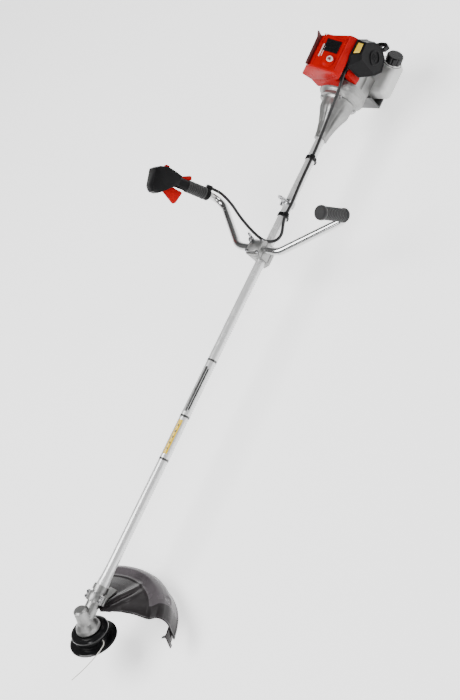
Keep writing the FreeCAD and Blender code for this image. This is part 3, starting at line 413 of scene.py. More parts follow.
def painted(name, color, rough, metallic=0.0, fleck=0.0):
    """Paint over metal: faint orange peel, small scuffs and a little dust."""
    m = Nodes(name)
    m.set(Metallic=metallic, Coat_Weight=0.4, Coat_Roughness=0.12)
    scuffs = m.spread(m.noise(60.0, 8.0, 0.7), 0.0, 1.0, 0.62, 0.72)
    clean = m.mix(m.spread(m.noise(9.0, 3.0), 0.0, 1.0), tone(color, 0.94), tone(color, 1.03))
    m.paint(m.mix(scuffs, clean, tone(color, 0.8)))
    m.rough(m.spread(m.noise(45.0, 6.0), rough * 0.8, rough * 1.3))
    m.bump(m.noise(700.0 + fleck, 2.0), 0.12, 0.00004)
    return m.material


def rubber(name, color, rough):
    """Matt rubber, blotched where hands have rubbed it, with a fine grain."""
    m = Nodes(name)
    m.set(Specular_IOR_Level=0.35, Sheen_Weight=0.15)
    m.paint(m.mix(m.spread(m.noise(60.0, 6.0), 0.0, 1.0), tone(color, 0.7), tone(color, 1.5)))
    m.rough(m.spread(m.noise(120.0, 4.0), rough * 0.85, rough * 1.15))
    m.bump(m.noise(1600.0, 3.0), 0.4, 0.00006)
    return m.material


def milky_plastic(name):
    """Blow-moulded plastic that lets light into it, clouded in its wall."""
    m = Nodes(name)
    m.set(Subsurface_Weight=0.35, Subsurface_Radius=(0.02, 0.02, 0.02), Subsurface_Scale=0.4,
          Specular_IOR_Level=0.5, Coat_Weight=0.15, Coat_Roughness=0.2)
    m.paint(m.mix(m.spread(m.noise(14.0, 4.0), 0.0, 1.0), (0.60, 0.60, 0.59, 1.0), (0.70, 0.70, 0.69, 1.0)))
    m.rough(m.spread(m.noise(80.0, 4.0), 0.28, 0.42))
    m.bump(m.noise(260.0, 4.0), 0.2, 0.0001)
    return m.material


def smoked_plastic(name, deep, pale, rough):
    """The guard's dark glossy plastic, a little dusty where the ground throws dirt."""
    m = Nodes(name)
    m.set(Specular_IOR_Level=0.16, Coat_Weight=0.03, Coat_Roughness=0.05)
    cloud = m.spread(m.noise(7.0, 4.0), 0.0, 1.0)
    body = m.mix(cloud, deep + (1.0,), pale + (1.0,))
    dust = m.spread(m.noise(40.0, 8.0, 0.7), 0.0, 0.25, 0.6, 0.8)
    m.paint(m.mix(dust, body, (0.12, 0.115, 0.115, 1.0)))
    m.rough(m.spread(m.noise(25.0, 6.0), rough * 0.7, rough * 1.5))
    m.bump(m.noise(500.0, 3.0), 0.12, 0.00005)
    return m.material


def fibre(name, color):
    """Braided cord: diagonal strands from a wave texture."""
    m = Nodes(name)
    wave = m.add("ShaderNodeTexWave", bands_direction="DIAGONAL")
    wave.inputs["Scale"].default_value = 260.0
    wave.inputs["Distortion"].default_value = 1.5
    m.link(m.coords, wave.inputs["Vector"])
    m.paint(m.mix(wave.outputs["Fac"], tone(color, 0.5), tone(color, 1.6)))
    m.rough(m.spread(m.noise(90.0), 0.7, 0.9))
    m.bump(wave.outputs["Fac"], 0.6, 0.0003)
    return m.material


def foam(name):
    """Open-cell foam: a pit for each cell."""
    m = Nodes(name)
    cells = m.add("ShaderNodeTexVoronoi")
    cells.inputs["Scale"].default_value = 700.0
    m.link(m.coords, cells.inputs["Vector"])
    m.paint(m.mix(cells.outputs["Distance"], (0.03, 0.03, 0.03, 1.0), (0.13, 0.13, 0.13, 1.0)))
    m.rough(m.spread(m.noise(50.0), 0.85, 0.98))
    m.bump(cells.outputs["Distance"], 0.8, 0.0006)
    return m.material


BLACK = (0.006, 0.006, 0.0065)
DARK_GREY = (0.045, 0.045, 0.045)


def make_materials():
    def add(make, name, *looks, **extras):
        MATERIALS[name] = make(name, *looks, **extras)

    add(painted, "tube_paint", (0.72, 0.72, 0.72), 0.24, metallic=0.4, fleck=200.0)
    add(metal, "polished_aluminium", (0.62, 0.62, 0.62), 0.16, 500.0, 0.00002, worn=1.1, dirt=0.88)
    add(metal, "cast_aluminium", (0.33, 0.33, 0.325), 0.42, 900.0, 0.00012)
    add(metal, "machined_steel", (0.45, 0.45, 0.46), 0.28, 700.0, 0.00004)
    add(metal, "spring_steel", (0.42, 0.42, 0.43), 0.35, 700.0, 0.00003)
    add(metal, "sintered_bronze", (0.62, 0.43, 0.22), 0.5, 1100.0, 0.00008)
    add(plastic, "black_plastic", BLACK, 0.38, 900.0, 0.00008, worn=9.0, gloss=0.08)
    add(plastic, "gloss_black_plastic", BLACK, 0.2, 300.0, 0.00003, coat=0.12, gloss=0.2)
    add(smoked_plastic, "smoked_plastic", (0.010, 0.009, 0.0095), (0.024, 0.021, 0.022), 0.16)
    add(rubber, "grip_rubber", (0.010, 0.010, 0.0105), 0.62)
    add(rubber, "cable_sheath", BLACK, 0.4)
    add(plastic, "red_plastic", (0.38, 0.0015, 0.002), 0.3, 260.0, 0.00003, worn=1.1, gloss=0.05)
    # A darker copy of the cover's red; on the cover's fin it is painted shade.
    add(plastic, "dark_red", (0.055, 0.003, 0.003), 0.3, 260.0, 0.00003, coat=0.3, worn=1.1)
    add(milky_plastic, "tank_plastic")
    add(plastic, "line_nylon", (0.62, 0.60, 0.55), 0.3, 400.0, 0.00002, coat=0.2, worn=1.1)
    add(plastic, "white_ceramic", (0.85, 0.84, 0.80), 0.2, 200.0, 0.00002, coat=0.4, worn=1.0)
    add(foam, "filter_foam")
    add(fibre, "rope_fibre", (0.06, 0.06, 0.06))
    add(painted, "dark_paint", DARK_GREY, 0.5, metallic=0.2)
    add(painted, "stand_paint", DARK_GREY, 0.35, metallic=0.3)
    add(smoked_plastic, "guard_band", (0.050, 0.044, 0.048), (0.085, 0.076, 0.082), 0.22)
    add(painted, "label_black", (0.008, 0.008, 0.008), 0.3)
    add(painted, "label_yellow", (0.80, 0.52, 0.008), 0.3)
    # A pale pink that paints highlights: the bright ring on the cover's boss and the bright strip on its facet.
    add(painted, "pale_trim", (0.75, 0.55, 0.53), 0.25)


# CAD nodes whose outer edges are broken, with the width in metres.
SOFT_EDGES = {
    "bracket_base": 0.0008, "bar_cap": 0.0012, "clamp_knob": 0.0006, "guard_bracket": 0.0006,
    "throttle_trigger": 0.0009, "lockout_lever": 0.0008, "stop_switch": 0.0005, "stand_plate": 0.0006,
    "starter_handle": 0.0022, "throttle_housing": 0.0009, "harness_eye": 0.0004, "lower_shroud": 0.0006,
    "line_cutter": 0.0002, "guard_skirt": 0.0004, "muffler": 0.0004, "filter_base": 0.0006,
}


def finish_cad_nodes():
    """Every CAD node gets its slot's material, with facets shaded as the curved surfaces they stand for."""
    for subpart in frame["record"]["subparts"]:
        node = frame["nodes"][subpart["node"]]
        node.data.materials.clear()
        node.data.materials.append(MATERIALS[subpart["material_slot"]])
        node.data.shade_smooth()
        node.data.set_sharp_from_angle(angle=math.radians(28.0))
        if subpart["node"] in SOFT_EDGES:
            weld = node.modifiers.new("weld", "WELD")
            weld.merge_threshold = 1e-5
            bevel(node, SOFT_EDGES[subpart["node"]], 2, 34.0)


# ---------------------------------------------------------------- stage

FLOOR_REACH = 80.0            # half of the floor's side
FLOOR_DROP = 0.001            # below the object's lowest point
FLOOR_GLOW = 1.3
SKY_EDGES = (0.02, 0.38)      # the sines of the elevations between which the sky dims
SKY_HORIZON = 1.5
SKY_OVERHEAD = 0.16
LAMPS = (                     # name, place, what it points at, width and watts
    ("key", (1.2, -1.0, 4.2), (0.25, 0.0, 0.0), 3.0, 260.0),
    ("side", (-2.6, 2.8, 2.4), (-0.2, 0.0, 0.0), 1.4, 60.0),
    ("near", (2.8, 2.4, 2.4), (0.25, 0.0, 0.0), 1.2, 45.0),
)


def area_light(name, place, target, size, power):
    data = bpy.data.lights.new(name, "AREA")
    data.shape = "DISK"
    data.size = size
    data.energy = power
    light = bpy.data.objects.new(name, data)
    light.location = place
    light.rotation_euler = (Vector(target) - Vector(place)).to_track_quat("-Z", "Y").to_euler()
    bpy.context.scene.collection.objects.link(light)


def light_sky(tree):
    """A studio sky: as pale as the floor at the horizon, dim overhead, where the lamps are."""
    coords = tree.nodes.new("ShaderNodeTexCoord")
    split = tree.nodes.new("ShaderNodeSeparateXYZ")
    tree.links.new(coords.outputs["Generated"], split.inputs[0])
    fall = tree.nodes.new("ShaderNodeMapRange")
    fall.interpolation_type = "SMOOTHSTEP"
    fall.inputs["From Min"].default_value = SKY_EDGES[0]
    fall.inputs["From Max"].default_value = SKY_EDGES[1]
    fall.inputs["To Min"].default_value = SKY_HORIZON
    fall.inputs["To Max"].default_value = SKY_OVERHEAD
    tree.links.new(split.outputs["Z"], fall.inputs["Value"])
    background = tree.nodes["Background"]
    background.inputs["Color"].default_value = (1.0, 1.0, 1.0, 1.0)
    tree.links.new(fall.outputs["Result"], background.inputs["Strength"])


def make_stage():
    floor_z = CAD_BOX[0][2] - FLOOR_DROP
    mesh = bpy.data.meshes.new("floor")
    mesh.from_pydata([(x * FLOOR_REACH, y * FLOOR_REACH, floor_z) for x, y in ((-1, -1), (1, -1), (1, 1), (-1, 1))],
                     [], [[0, 1, 2, 3]])
    floor = bpy.data.objects.new("floor", mesh)
    bpy.context.scene.collection.objects.link(floor)
    paper = Nodes("floor_paper")
    paper.paint(paper.mix(paper.noise(3.0), (0.94, 0.94, 0.94, 1.0), (0.96, 0.96, 0.96, 1.0)))
    paper.set(Roughness=0.9, Emission_Color=(1.0, 1.0, 1.0, 1.0), Emission_Strength=FLOOR_GLOW)
    mesh.materials.append(paper.material)
    world = bpy.data.worlds.new("studio")
    world.use_nodes = True
    light_sky(world.node_tree)
    bpy.context.scene.world = world
    for lamp in LAMPS:
        area_light(*lamp)


# ---------------------------------------------------------------- guard

# The guard's section as (along the spindle, radius) in millimetres, as far as the turn into the rim.
GUARD_TOP = [(14.0, 46.0), (14.0, 80.0), (14.0, 106.0), (10.0, 124.0), (6.0, 140.0), (0.0, 161.0), (-6.0, 182.0)]
GUARD_R = 232.0
GUARD_DROP = 72.0
GUARD_FLARE = 3.0             # how far the rim's lower edge stands out
GUARD_ROLL = 40.0             # the radius where the top turns down into the rim
ROLL_START = 75.0             # degrees
ROLL_STEPS = 24
GUARD_SIDES = (66.0, -33.0)   # degrees from straight back, of the near and the far edge
GUARD_APEX = (34.0, 14.0)     # where the two straight edges set out from, back and across
EDGE_WAVE = 0.8               # degrees, how much the near edge waves
EDGE_WAVE_STEP = 17.0
EDGE_WAVE_FADE = (60, 110)    # where along the section the wave comes in
GUARD_WALL = 0.0026
GUARD_ROWS = 110
GUARD_COLUMNS = 130
GUARD_SUNK = 2.4              # how far the face lies under its plain section
# Steps of the face: where each starts and ends before the rim's edge, and its height.
GUARD_STEPS = ((118.0, 114.0, 1.4), (66.0, 63.0, -0.8), (7.0, 4.5, 1.2))
BAND = (114.0, 6.0, 0.16)     # the paler band: the same two distances, and the share of the width it leaves out
# Crescents: the radii at the ends, the angles at the ends, the bow in degrees and the height.
CRESCENTS = ((58, 196, (19.0, 10.0), 4.0, 6.5), (58, 176, (37.0, 20.0), 3.0, 4.5))
CRESCENT_STEEP = 3.2          # width of a crescent's steep side
CRESCENT_LONG = 9.0           # width of its long side at the start, twice that at the end
BEAD_START = 30.0             # how far along the section the bead on the straight edges starts
BEAD = (3.5, 6.0)             # how wide its flat is, and where its slope ends
BEAD_LEVELS = (0.2, 2.2)      # how far under the plain section its top is, and the height of its slope
NOTCH_ANGLES = (-14.0, 12.0, 38.0)
NOTCH_HALF = 3.0              # degrees
NOTCH_SPAN = (62.0, 44.0)     # before the rim's edge
NOTCH_DEPTH = 2.2


def guard_line():
    """The guard's section as (along, radius) pairs, with the turn at the rim in small steps."""
    points = list(GUARD_TOP)
    for i in range(ROLL_STEPS + 1):
        angle = math.radians(ROLL_START - ROLL_START * i / ROLL_STEPS)
        points.append((GUARD_ROLL * math.sin(angle) - GUARD_ROLL, GUARD_R - GUARD_ROLL + GUARD_ROLL * math.cos(angle)))
    points.append((-GUARD_DROP, GUARD_R + GUARD_FLARE))
    return points


def edge_angle(radius, side):
    """The angle from straight back, in degrees, where the guard's straight edge crosses a radius."""
    degrees = GUARD_SIDES[0] if side > 0 else GUARD_SIDES[1]
    out = math.radians(abs(degrees))
    back, across = GUARD_APEX
    b = back * math.cos(out) + across * math.sin(out)
    t = -b + math.sqrt(b * b - (back * back + across * across - radius * radius))
    return side * math.degrees(math.atan2(across + t * math.sin(out), back + t * math.cos(out)))


def ease(value, low, high):
    t = min(1.0, max(0.0, (value - low) / (high - low)))
    return t * t * (3 - 2 * t)


def crescent(angle, radius, start, end, at, bow, height):
    """A raised crescent: steep on its inner side, long on its outer side, and gone at both ends."""
    t = (radius - start) / (end - start)
    if t <= 0.0 or t >= 1.0:
        return 0.0
    centre = at[0] + (at[1] - at[0]) * t + bow * 4 * t * (1 - t)
    gap = math.radians(angle - centre) * radius
    width = CRESCENT_STEEP if gap > 0 else CRESCENT_LONG + CRESCENT_LONG * t
    return height * math.sin(math.pi * t) ** 0.6 * math.exp(-(gap / width) ** 2)


def guard_relief(angle, radius, run, full, near, far):
    """How far, in millimetres, the guard's face stands out from its plain section."""
    lift = sum(crescent(angle, radius, *shape) for shape in CRESCENTS) - GUARD_SUNK
    for start, end, height in GUARD_STEPS:
        lift += height * ease(run, full - start, full - end)
    if run > BEAD_START:
        edge_gap = min(near - angle, angle - far) * math.radians(1) * radius
        lift = max(lift, -BEAD_LEVELS[0] - BEAD_LEVELS[1] * ease(edge_gap, *BEAD))
    for place in NOTCH_ANGLES:
        if abs(angle - place) < NOTCH_HALF and full - NOTCH_SPAN[0] < run < full - NOTCH_SPAN[1]:
            lift -= NOTCH_DEPTH
    return lift


def make_guard():
    line = even_points(guard_line(), GUARD_ROWS)
    full = line[-1][2]
    verts = []
    for i, (along, radius, run) in enumerate(line):
        before = line[max(0, i - 1)]
        after = line[min(GUARD_ROWS - 1, i + 1)]
        slope = Vector((after[0] - before[0], after[1] - before[1])).normalized()
        normal = (slope.y, -slope.x)
        near = edge_angle(radius, 1)
        far = edge_angle(radius, -1)
        near += EDGE_WAVE * math.sin(run / EDGE_WAVE_STEP) * ease(run, *EDGE_WAVE_FADE)
        for j in range(GUARD_COLUMNS):
            angle = near + (far - near) * j / (GUARD_COLUMNS - 1)
            lift = guard_relief(angle, radius, run, full, near, far)
            r = radius + normal[1] * lift
            a = math.radians(angle)
            verts.append(mm(-r * math.cos(a), r * math.sin(a), along + normal[0] * lift))
    bands = [full - BAND[0] < line[i][2] < full - BAND[1] and j / (GUARD_COLUMNS - 1) > BAND[2]
             for i in range(GUARD_ROWS - 1) for j in range(GUARD_COLUMNS - 1)]
    piece = new_piece("guard_moulding", (verts, grid_faces(GUARD_ROWS, GUARD_COLUMNS)), "smoked_plastic",
                      replaces=("guard_shell",), matrix=HEAD, smooth=60.0)
    piece.data.materials.append(MATERIALS["guard_band"])
    for polygon, band in zip(piece.data.polygons, bands):
        polygon.material_index = 1 if band else 0
    thicken(piece, GUARD_WALL, 1.0)


# ---------------------------------------------------------------- shaft and its labels

SKIN_GAP = 0.00003            # between the tube and what is stuck on it
LABELS = (                    # name, ends along X, angles in degrees from +Y towards +Z, and looks
    ("tube_stripe_a", 0.362, 0.500, 56.0, 84.0, "label_black"),
    ("tube_stripe_b", 0.368, 0.494, 34.0, 49.0, "label_black"),
    ("tube_caution", 0.526, 0.628, 44.0, 92.0, "label_yellow"),
)
LABEL_THICKNESS = 0.00012
MARK_THICKNESS = 0.00022      # the marks lie on the caution label
MARK_COUNT = 5
MARK_STEP = 0.0175
PATCH_STEPS = 14
TUBE_BANDS = (0.338, 0.510, 0.640)
TUBE_BAND_WIDTH = 0.006


def make_shaft_trim():
    flare = [(0.958, 0.01404), (0.958, 0.01425), (0.985, 0.0152), (1.010, 0.0175), (1.022, 0.0196), (1.0275, 0.0205),
             (1.0282, 0.0200), (1.0282, 0.01404)]
    bevel(new_piece("tube_flare", hollow_lathe(flare, 72), "tube_paint", matrix=ALONG_SHAFT, smooth=40.0), 0.0004)
    for name, start, end, low, high, look in LABELS:
        new_piece(name, tube_patch(start, end, low, high, LABEL_THICKNESS), "tube_paint", look=look, smooth=40.0)
    for i in range(MARK_COUNT):
        mark = tube_patch(0.540 + MARK_STEP * i, 0.546 + MARK_STEP * i, 60.0, 76.0, MARK_THICKNESS)
        new_piece("tube_mark_%d" % i, mark, "tube_paint", look="label_black", smooth=40.0)
    inner = TUBE_R + 0.00002
    outer = TUBE_R + 0.00016
    for i, x in enumerate(TUBE_BANDS):
        end = x + TUBE_BAND_WIDTH
        band = hollow_lathe([(x, inner), (x, outer), (end, outer), (end, inner)], 64)
        new_piece("tube_band_%d" % i, band, "tube_paint", look="stand_paint", matrix=ALONG_SHAFT, smooth=40.0)


def tube_patch(start, end, low, high, thickness):
    """A thin skin on the tube from x start to x end, between two angles in degrees from +Y towards +Z."""
    rows = []
    for radius in (TUBE_R + SKIN_GAP, TUBE_R + SKIN_GAP + thickness):
        angles = [math.radians(low + (high - low) * i / PATCH_STEPS) for i in range(PATCH_STEPS + 1)]
        rows.append([Vector((start, radius * math.cos(a), radius * math.sin(a))) for a in angles])
    return prism(rows[0] + rows[1][::-1], Vector((end - start, 0, 0)))


# ---------------------------------------------------------------- engine cover

# The cover's section as (y, z) in millimetres.
COVER_SECTION = [(-40.0, 101.5), (-56.0, 128.0), (-14.0, 164.0), (2.0, 170.0), (72.0, 136.0), (78.0, 112.0),
                 (66.0, 101.5)]
COVER_FRONT = -518.0
COVER_REAR = -648.0
COVER_LEAN = 0.65             # how fast the rear end comes forward with height
COVER_LEAN_X = -600.0         # a point on its leaning line
COVER_LEAN_Z = 200.0
COVER_SHARES = (0.0, 0.04, 0.5, 0.97, 1.0)     # where the section repeats from the front to the rear
COVER_WALL = 0.0028
FACET_ACROSS = Vector((0, 0.8995, -0.4369))
FACET = basis(Vector((1, 0, 0)), FACET_ACROSS, Vector((1, 0, 0)).cross(FACET_ACROSS), mm(0, 2, 170))
LOUVRE_COUNT = 6
LOUVRE_START = -606.0
LOUVRE_STEP = 5.2
POD_MIDDLE = (-546, 47, -1)   # on the facet
POD_REACH = (21, 19, 9)
POD_ROWS = 14
POD_AROUND = 40
POD_FLATNESS = 0.7


def cover_rear(z):
    """How far back the cover reaches at a height. Its rear end leans forward towards the top."""
    return max(COVER_REAR, COVER_LEAN_X - (COVER_LEAN_Z - z) * COVER_LEAN)


def make_cover():
    count = len(COVER_SECTION)
    verts = [mm(COVER_FRONT + (cover_rear(z) - COVER_FRONT) * share, y, z)
             for share in COVER_SHARES for y, z in COVER_SECTION]
    faces = [list(range(count))] + grid_faces(len(COVER_SHARES), count)
    shell = new_piece("engine_cowl", (verts, faces), "red_plastic", replaces=("top_cover",), smooth=35.0)
    bevel(shell, 0.005, 5, 18.0)
    thicken(shell, COVER_WALL)
    # The fin shows dark_red, a darker copy of the cover's red: painted shade on the fin's face.
    fin = [mm(-519, -7, 163), mm(-519, -7, 177.5), mm(-606, -7, 181.5), mm(-621, -7, 189.5), mm(-614, -7, 162)]
    bevel(new_piece("cowl_fin", prism(fin, mm(0, 6.5, 0)), "red_plastic", look="dark_red"), 0.0012)
    make_cover_face()


def make_cover_face():
    """What stands on the cover's left facet: a raised border, the louvres, the pod with its boss, and two ribs."""
    border = joined([brick((-626, 68, -1), (-524, 73, 2.6)), brick((-626, 10, -1), (-621, 73, 2.6)),
                     brick((-626, 4, -1), (-524, 8, 1.8))])
    bevel(new_piece("cowl_border", border, "red_plastic", matrix=FACET), 0.0011)
    louvres = [brick((-613, 18, -0.6), (-609.5, 62, 2.0)), brick((-577.5, 18, -0.6), (-574, 62, 2.0)),
               brick((-613, 18, -0.6), (-574, 21, 2.0)), brick((-613, 59, -0.6), (-574, 62, 2.0)),
               brick((-612, 20, -0.8), (-575, 60, 0.5))]
    for i in range(LOUVRE_COUNT):
        x = LOUVRE_START + LOUVRE_STEP * i
        outline = [mm(x, 20, 0.3), mm(x + 3.4, 20, 0.3), mm(x + 2.4, 20, 2.6), mm(x - 0.6, 20, 2.6)]
        louvres.append(prism(outline, mm(0, 40, 0)))
    bevel(new_piece("cowl_louvres", joined(louvres), "black_plastic", matrix=FACET), 0.0004)
    pod = []
    for i in range(POD_ROWS + 1):
        rise = math.pi / 2 * i / POD_ROWS
        for j in range(POD_AROUND):
            turn = 2 * math.pi * j / POD_AROUND
            pod.append(mm(POD_MIDDLE[0] + POD_REACH[0] * math.cos(rise) ** POD_FLATNESS * math.cos(turn),
                          POD_MIDDLE[1] + POD_REACH[1] * math.cos(rise) ** POD_FLATNESS * math.sin(turn),
                          POD_MIDDLE[2] + POD_REACH[2] * math.sin(rise)))
    new_piece("cowl_pod", (pod, ring_faces(POD_ROWS + 1, POD_AROUND)), "red_plastic", matrix=FACET, smooth=60.0)
    place = FACET @ Matrix.Translation(mm(-550, 52, 0))
    boss = hollow_lathe([(0.004, 0.006), (0.0085, 0.006), (0.0095, 0.0068), (0.0095, 0.0082), (0.008, 0.0094),
                         (0.004, 0.0098)], 48)
    # The ring's pale pink is a painted highlight: the bright circle on the boss.
    new_piece("cowl_boss", boss, "red_plastic", look="pale_trim", matrix=place, smooth=50.0)
    screw = lathe([(0.004, 0.0), (0.004, 0.0058), (0.0082, 0.0058), (0.0088, 0.005), (0.0088, 0.0022),
                   (0.0070, 0.0020), (0.0070, 0.0)], 32)
    new_piece("cowl_screw", screw, "machined_steel", matrix=place, smooth=40.0)
    # The ribs' pale pink is a painted highlight: the bright strip along the facet.
    ribs = joined([brick((-594, 14, -1), (-552, 17, 2.2)), brick((-590, 20.5, -1), (-556, 22.5, 1.8))])
    bevel(new_piece("cowl_ribs", ribs, "red_plastic", look="pale_trim", matrix=FACET), 0.0008)


# ---------------------------------------------------------------- air filter box

# Matching corners of the box's back and of its face, as (x, z) in millimetres.
FILTER_BACK = [(-558, 106), (-590, 118), (-644, 116), (-668, 84), (-668, 44), (-652, 12), (-600, 4), (-562, 50)]
FILTER_FACE = [(-587, 98), (-600, 108), (-636, 110), (-659, 82), (-664, 46), (-648, 16), (-612, 6), (-588, 24)]
FILTER_CENTRE = (-618, 62)
FILTER_Y = 79.0               # the back
FILTER_DEPTH = 34.0           # from the back to the face
LABEL_ROWS = 9
LABEL_COLUMNS = 7


def ring_of(outline, y, grow):
    x0, z0 = FILTER_CENTRE
    return [mm(x0 + (x - x0) * grow, y, z0 + (z - z0) * grow) for x, z in outline]


def make_filter():
    rings = [ring_of(FILTER_BACK, FILTER_Y, 0.95), ring_of(FILTER_BACK, FILTER_Y, 1.0),
             ring_of(FILTER_BACK, 82.5, 1.0), ring_of(FILTER_BACK, 83.2, 0.985)]
    for share, grow in ((0.12, 0.985), (0.5, 0.985), (0.92, 1.0)):
        outline = [mix_pair(a, b, share) for a, b in zip(FILTER_BACK, FILTER_FACE)]
        rings.append(ring_of(outline, FILTER_Y + FILTER_DEPTH * share, grow))
    for y, grow in ((113.0, 1.0), (113.0, 0.94), (111.6, 0.92)):
        rings.append(ring_of(FILTER_FACE, y, grow))
    verts = [v for ring in rings for v in ring]
    corners = len(FILTER_BACK)
    faces = ring_faces(len(rings), corners)
    faces.append([corners * (len(rings) - 1) + j for j in range(corners)])
    shell = new_piece("filter_box", (verts, faces), "black_plastic", replaces=("filter_cover",))
    bevel(shell, 0.0016, 4, 20.0)
    emboss = hollow_lathe([(0.0, 0.0165), (0.0026, 0.0168), (0.0032, 0.0178), (0.0032, 0.0192), (0.0022, 0.0204),
                           (0.0, 0.0208)], 64, squircle)
    face = basis(Vector((1, 0, 0)), Vector((0, 0, -1)), Vector((0, 1, 0)), mm(-625, 111.4, 56))
    new_piece("filter_emboss", emboss, "black_plastic", matrix=face, smooth=40.0)
    bars = joined([brick((-9, -9.5 + 7 * i, 0), (9, -6.0 + 7 * i, 1.6)) for i in range(3)])
    bevel(new_piece("filter_vents", bars, "black_plastic", matrix=face), 0.0005)
    label = []
    for i in range(LABEL_ROWS):
        for j in range(LABEL_COLUMNS):
            share = 0.26 + 0.50 * j / (LABEL_COLUMNS - 1)
            low = mix_pair(FILTER_BACK[1], FILTER_FACE[1], share)
            high = mix_pair(FILTER_BACK[2], FILTER_FACE[2], share)
            x, z = mix_pair(low, high, 0.10 + 0.72 * i / (LABEL_ROWS - 1))
            label.append(mm(x, FILTER_Y + FILTER_DEPTH * share + 0.2, z + 0.35))
    thicken(new_piece("filter_label", (label, grid_faces(LABEL_ROWS, LABEL_COLUMNS)), "black_plastic",
                      look="label_yellow", smooth=40.0), 0.0008, 0.0)


def squircle(angle):
    """The radius of a round-cornered square, for lathe."""
    turned = angle + math.pi / 4
    return 1.0 / (abs(math.cos(turned)) ** 4 + abs(math.sin(turned)) ** 4) ** 0.12


# ---------------------------------------------------------------- fan housing, clutch cone and tank details

FAN_BANDS = (-550.0, -543.0, -536.0, -529.5)   # where each starts, in millimetres
FAN_BAND_WIDTH = 1.8
FAN_BAND_RADII = (0.0668, 0.0677)
PORT_OUT = Vector((0.80, 0.42, 0.42)).normalized()
PORT_ACROSS = Vector((0, 0.7071, -0.7071))
# The clutch cone's outline as (x, radius) in millimetres.
CONE = [(-385.0, 19.6), (-402.0, 20.0), (-430.0, 25.0), (-455.0, 34.0), (-474.0, 42.5), (-498.0, 46.5)]
CONE_RIBS = 6
RIB_ROWS = 24
RIB_COLUMNS = 12
RIB_HALF = 21.0               # degrees
RIB_HEIGHT = 3.4
RIB_SUNK = 0.25
CAP_UP = Vector((-0.50, 0.55, 0.66)).normalized()
CAP_BASE = mm(-691, 62, -69) + CAP_UP * 0.0133
TETHER_STEPS = 48
TETHER_R = 0.0009


def make_engine_trim():
    inner, outer = FAN_BAND_RADII
    for i, x in enumerate(FAN_BANDS):
        start = x * MM
        end = (x + FAN_BAND_WIDTH) * MM
        band = hollow_lathe([(start, inner), (start, outer), (end, outer), (end, inner)], 120)
        bevel(new_piece("fan_band_%d" % i, band, "cast_aluminium", matrix=ALONG_SHAFT, smooth=40.0), 0.0003)
    ribs = [cone_rib(Matrix.Rotation(math.radians(360.0 / CONE_RIBS * turn + 8.0), 4, "X"))
            for turn in range(CONE_RIBS)]
    new_piece("cone_ribs", joined(ribs), "cast_aluminium", smooth=50.0)
    # fan_port is a black slab flush with the housing where its port opens: painted shade for the dark opening.
    place = basis(PORT_OUT, PORT_ACROSS, PORT_OUT.cross(PORT_ACROSS), mm(-523.2, 41.5, 44.5))
    bevel(new_piece("fan_port", brick((-1.2, -6.5, -4.5), (0.6, 6.5, 4.5)), "black_plastic",
                    look="gloss_black_plastic", matrix=place), 0.0008)


def cone_rib(spin):
    """A smooth raised lobe down the clutch cone, faded at both ends."""
    verts = []
    for i, (x, radius, _) in enumerate(even_points(CONE, RIB_ROWS)):
        fade = math.sin(math.pi * i / (RIB_ROWS - 1)) ** 0.7
        for j in range(RIB_COLUMNS + 1):
            share = j / RIB_COLUMNS * 2 - 1
            angle = share * math.radians(RIB_HALF)
            r = radius + RIB_HEIGHT * fade * (math.cos(math.pi / 2 * share) ** 2) - RIB_SUNK
            verts.append(spin @ mm(x, r * math.cos(angle), r * math.sin(angle)))
    return verts, grid_faces(RIB_ROWS, RIB_COLUMNS + 1)


def make_cap_tether():
    """The thin loop that keeps the fuel cap with the tank."""
    side = Vector((0, 0, 1)).cross(CAP_UP).normalized()
    other = CAP_UP.cross(side)
    points = []
    for i in range(TETHER_STEPS):
        angle = 2 * math.pi * i / TETHER_STEPS
        radius = 0.0285 + 0.0022 * math.sin(angle + 0.6)
        points.append(CAP_BASE + CAP_UP * (-0.0035 + 0.003 * math.sin(angle)) + side * radius * math.cos(angle)
                      + other * radius * math.sin(angle))
    new_piece("cap_tether", tube_along(points, TETHER_R, 10, True), "black_plastic", smooth=60.0)


# ---------------------------------------------------------------- grips

def wavy(start, end, step, low, high):
    """A ribbed stretch of a grip's profile: rounded ribs every step."""
    points = []
    z = start
    while z + step <= end + 1e-9:
        for share, level in ((0.0, 0.0), (0.18, 0.75), (0.34, 1.0), (0.58, 1.0), (0.74, 0.75), (0.92, 0.0)):
            points.append((z + step * share, low + (high - low) * level))
        z += step
    return points


def make_grips():
    profile = [(67.0, 17.05), (67.0, 18.2), (69.0, 19.2), (73.0, 19.2), (75.0, 18.0)] + wavy(76, 126, 6.2, 17.3, 18.7)
    profile += [(126.5, 18.0), (127.5, 18.9), (130.0, 18.9), (131.0, 18.2), (131.0, 17.05)]
    sleeve = hollow_lathe([(z * MM, r * MM) for z, r in profile], 72)
    new_piece("throttle_sleeve", sleeve, "grip_rubber", "bars", matrix=THROTTLE, smooth=45.0)
    start = LEFT_REACH / MM - 98
    profile = [(98.2, 0.0), (98.2, 11.05), (0, 11.05), (0, 16.5), (1.2, 18.6), (3, 19.7), (7, 19.9), (9.5, 18.6),
               (11, 17.6)]
    profile += wavy(12, 88, 6.3, 16.9, 18.3)
    profile += [(89, 17.6), (91, 19.6), (93, 20.4), (99, 20.4), (101.5, 19.4), (103.4, 17.2), (104, 14.5), (104, 0)]
    grip = lathe([((start + z) * MM, r * MM) for z, r in profile], 72)
    new_piece("left_handgrip", grip, "grip_rubber", "bars", replaces=("left_grip",), matrix=LEFT_GRIP, smooth=45.0)


# ---------------------------------------------------------------- head spring, cable and rope

SPRING_TURNS = 6
SPRING_STEPS = 240
SPRING_R = 6.75               # this and the next two in millimetres, along and about the spindle
SPRING_TOP = -57.8
SPRING_LENGTH = 14.4
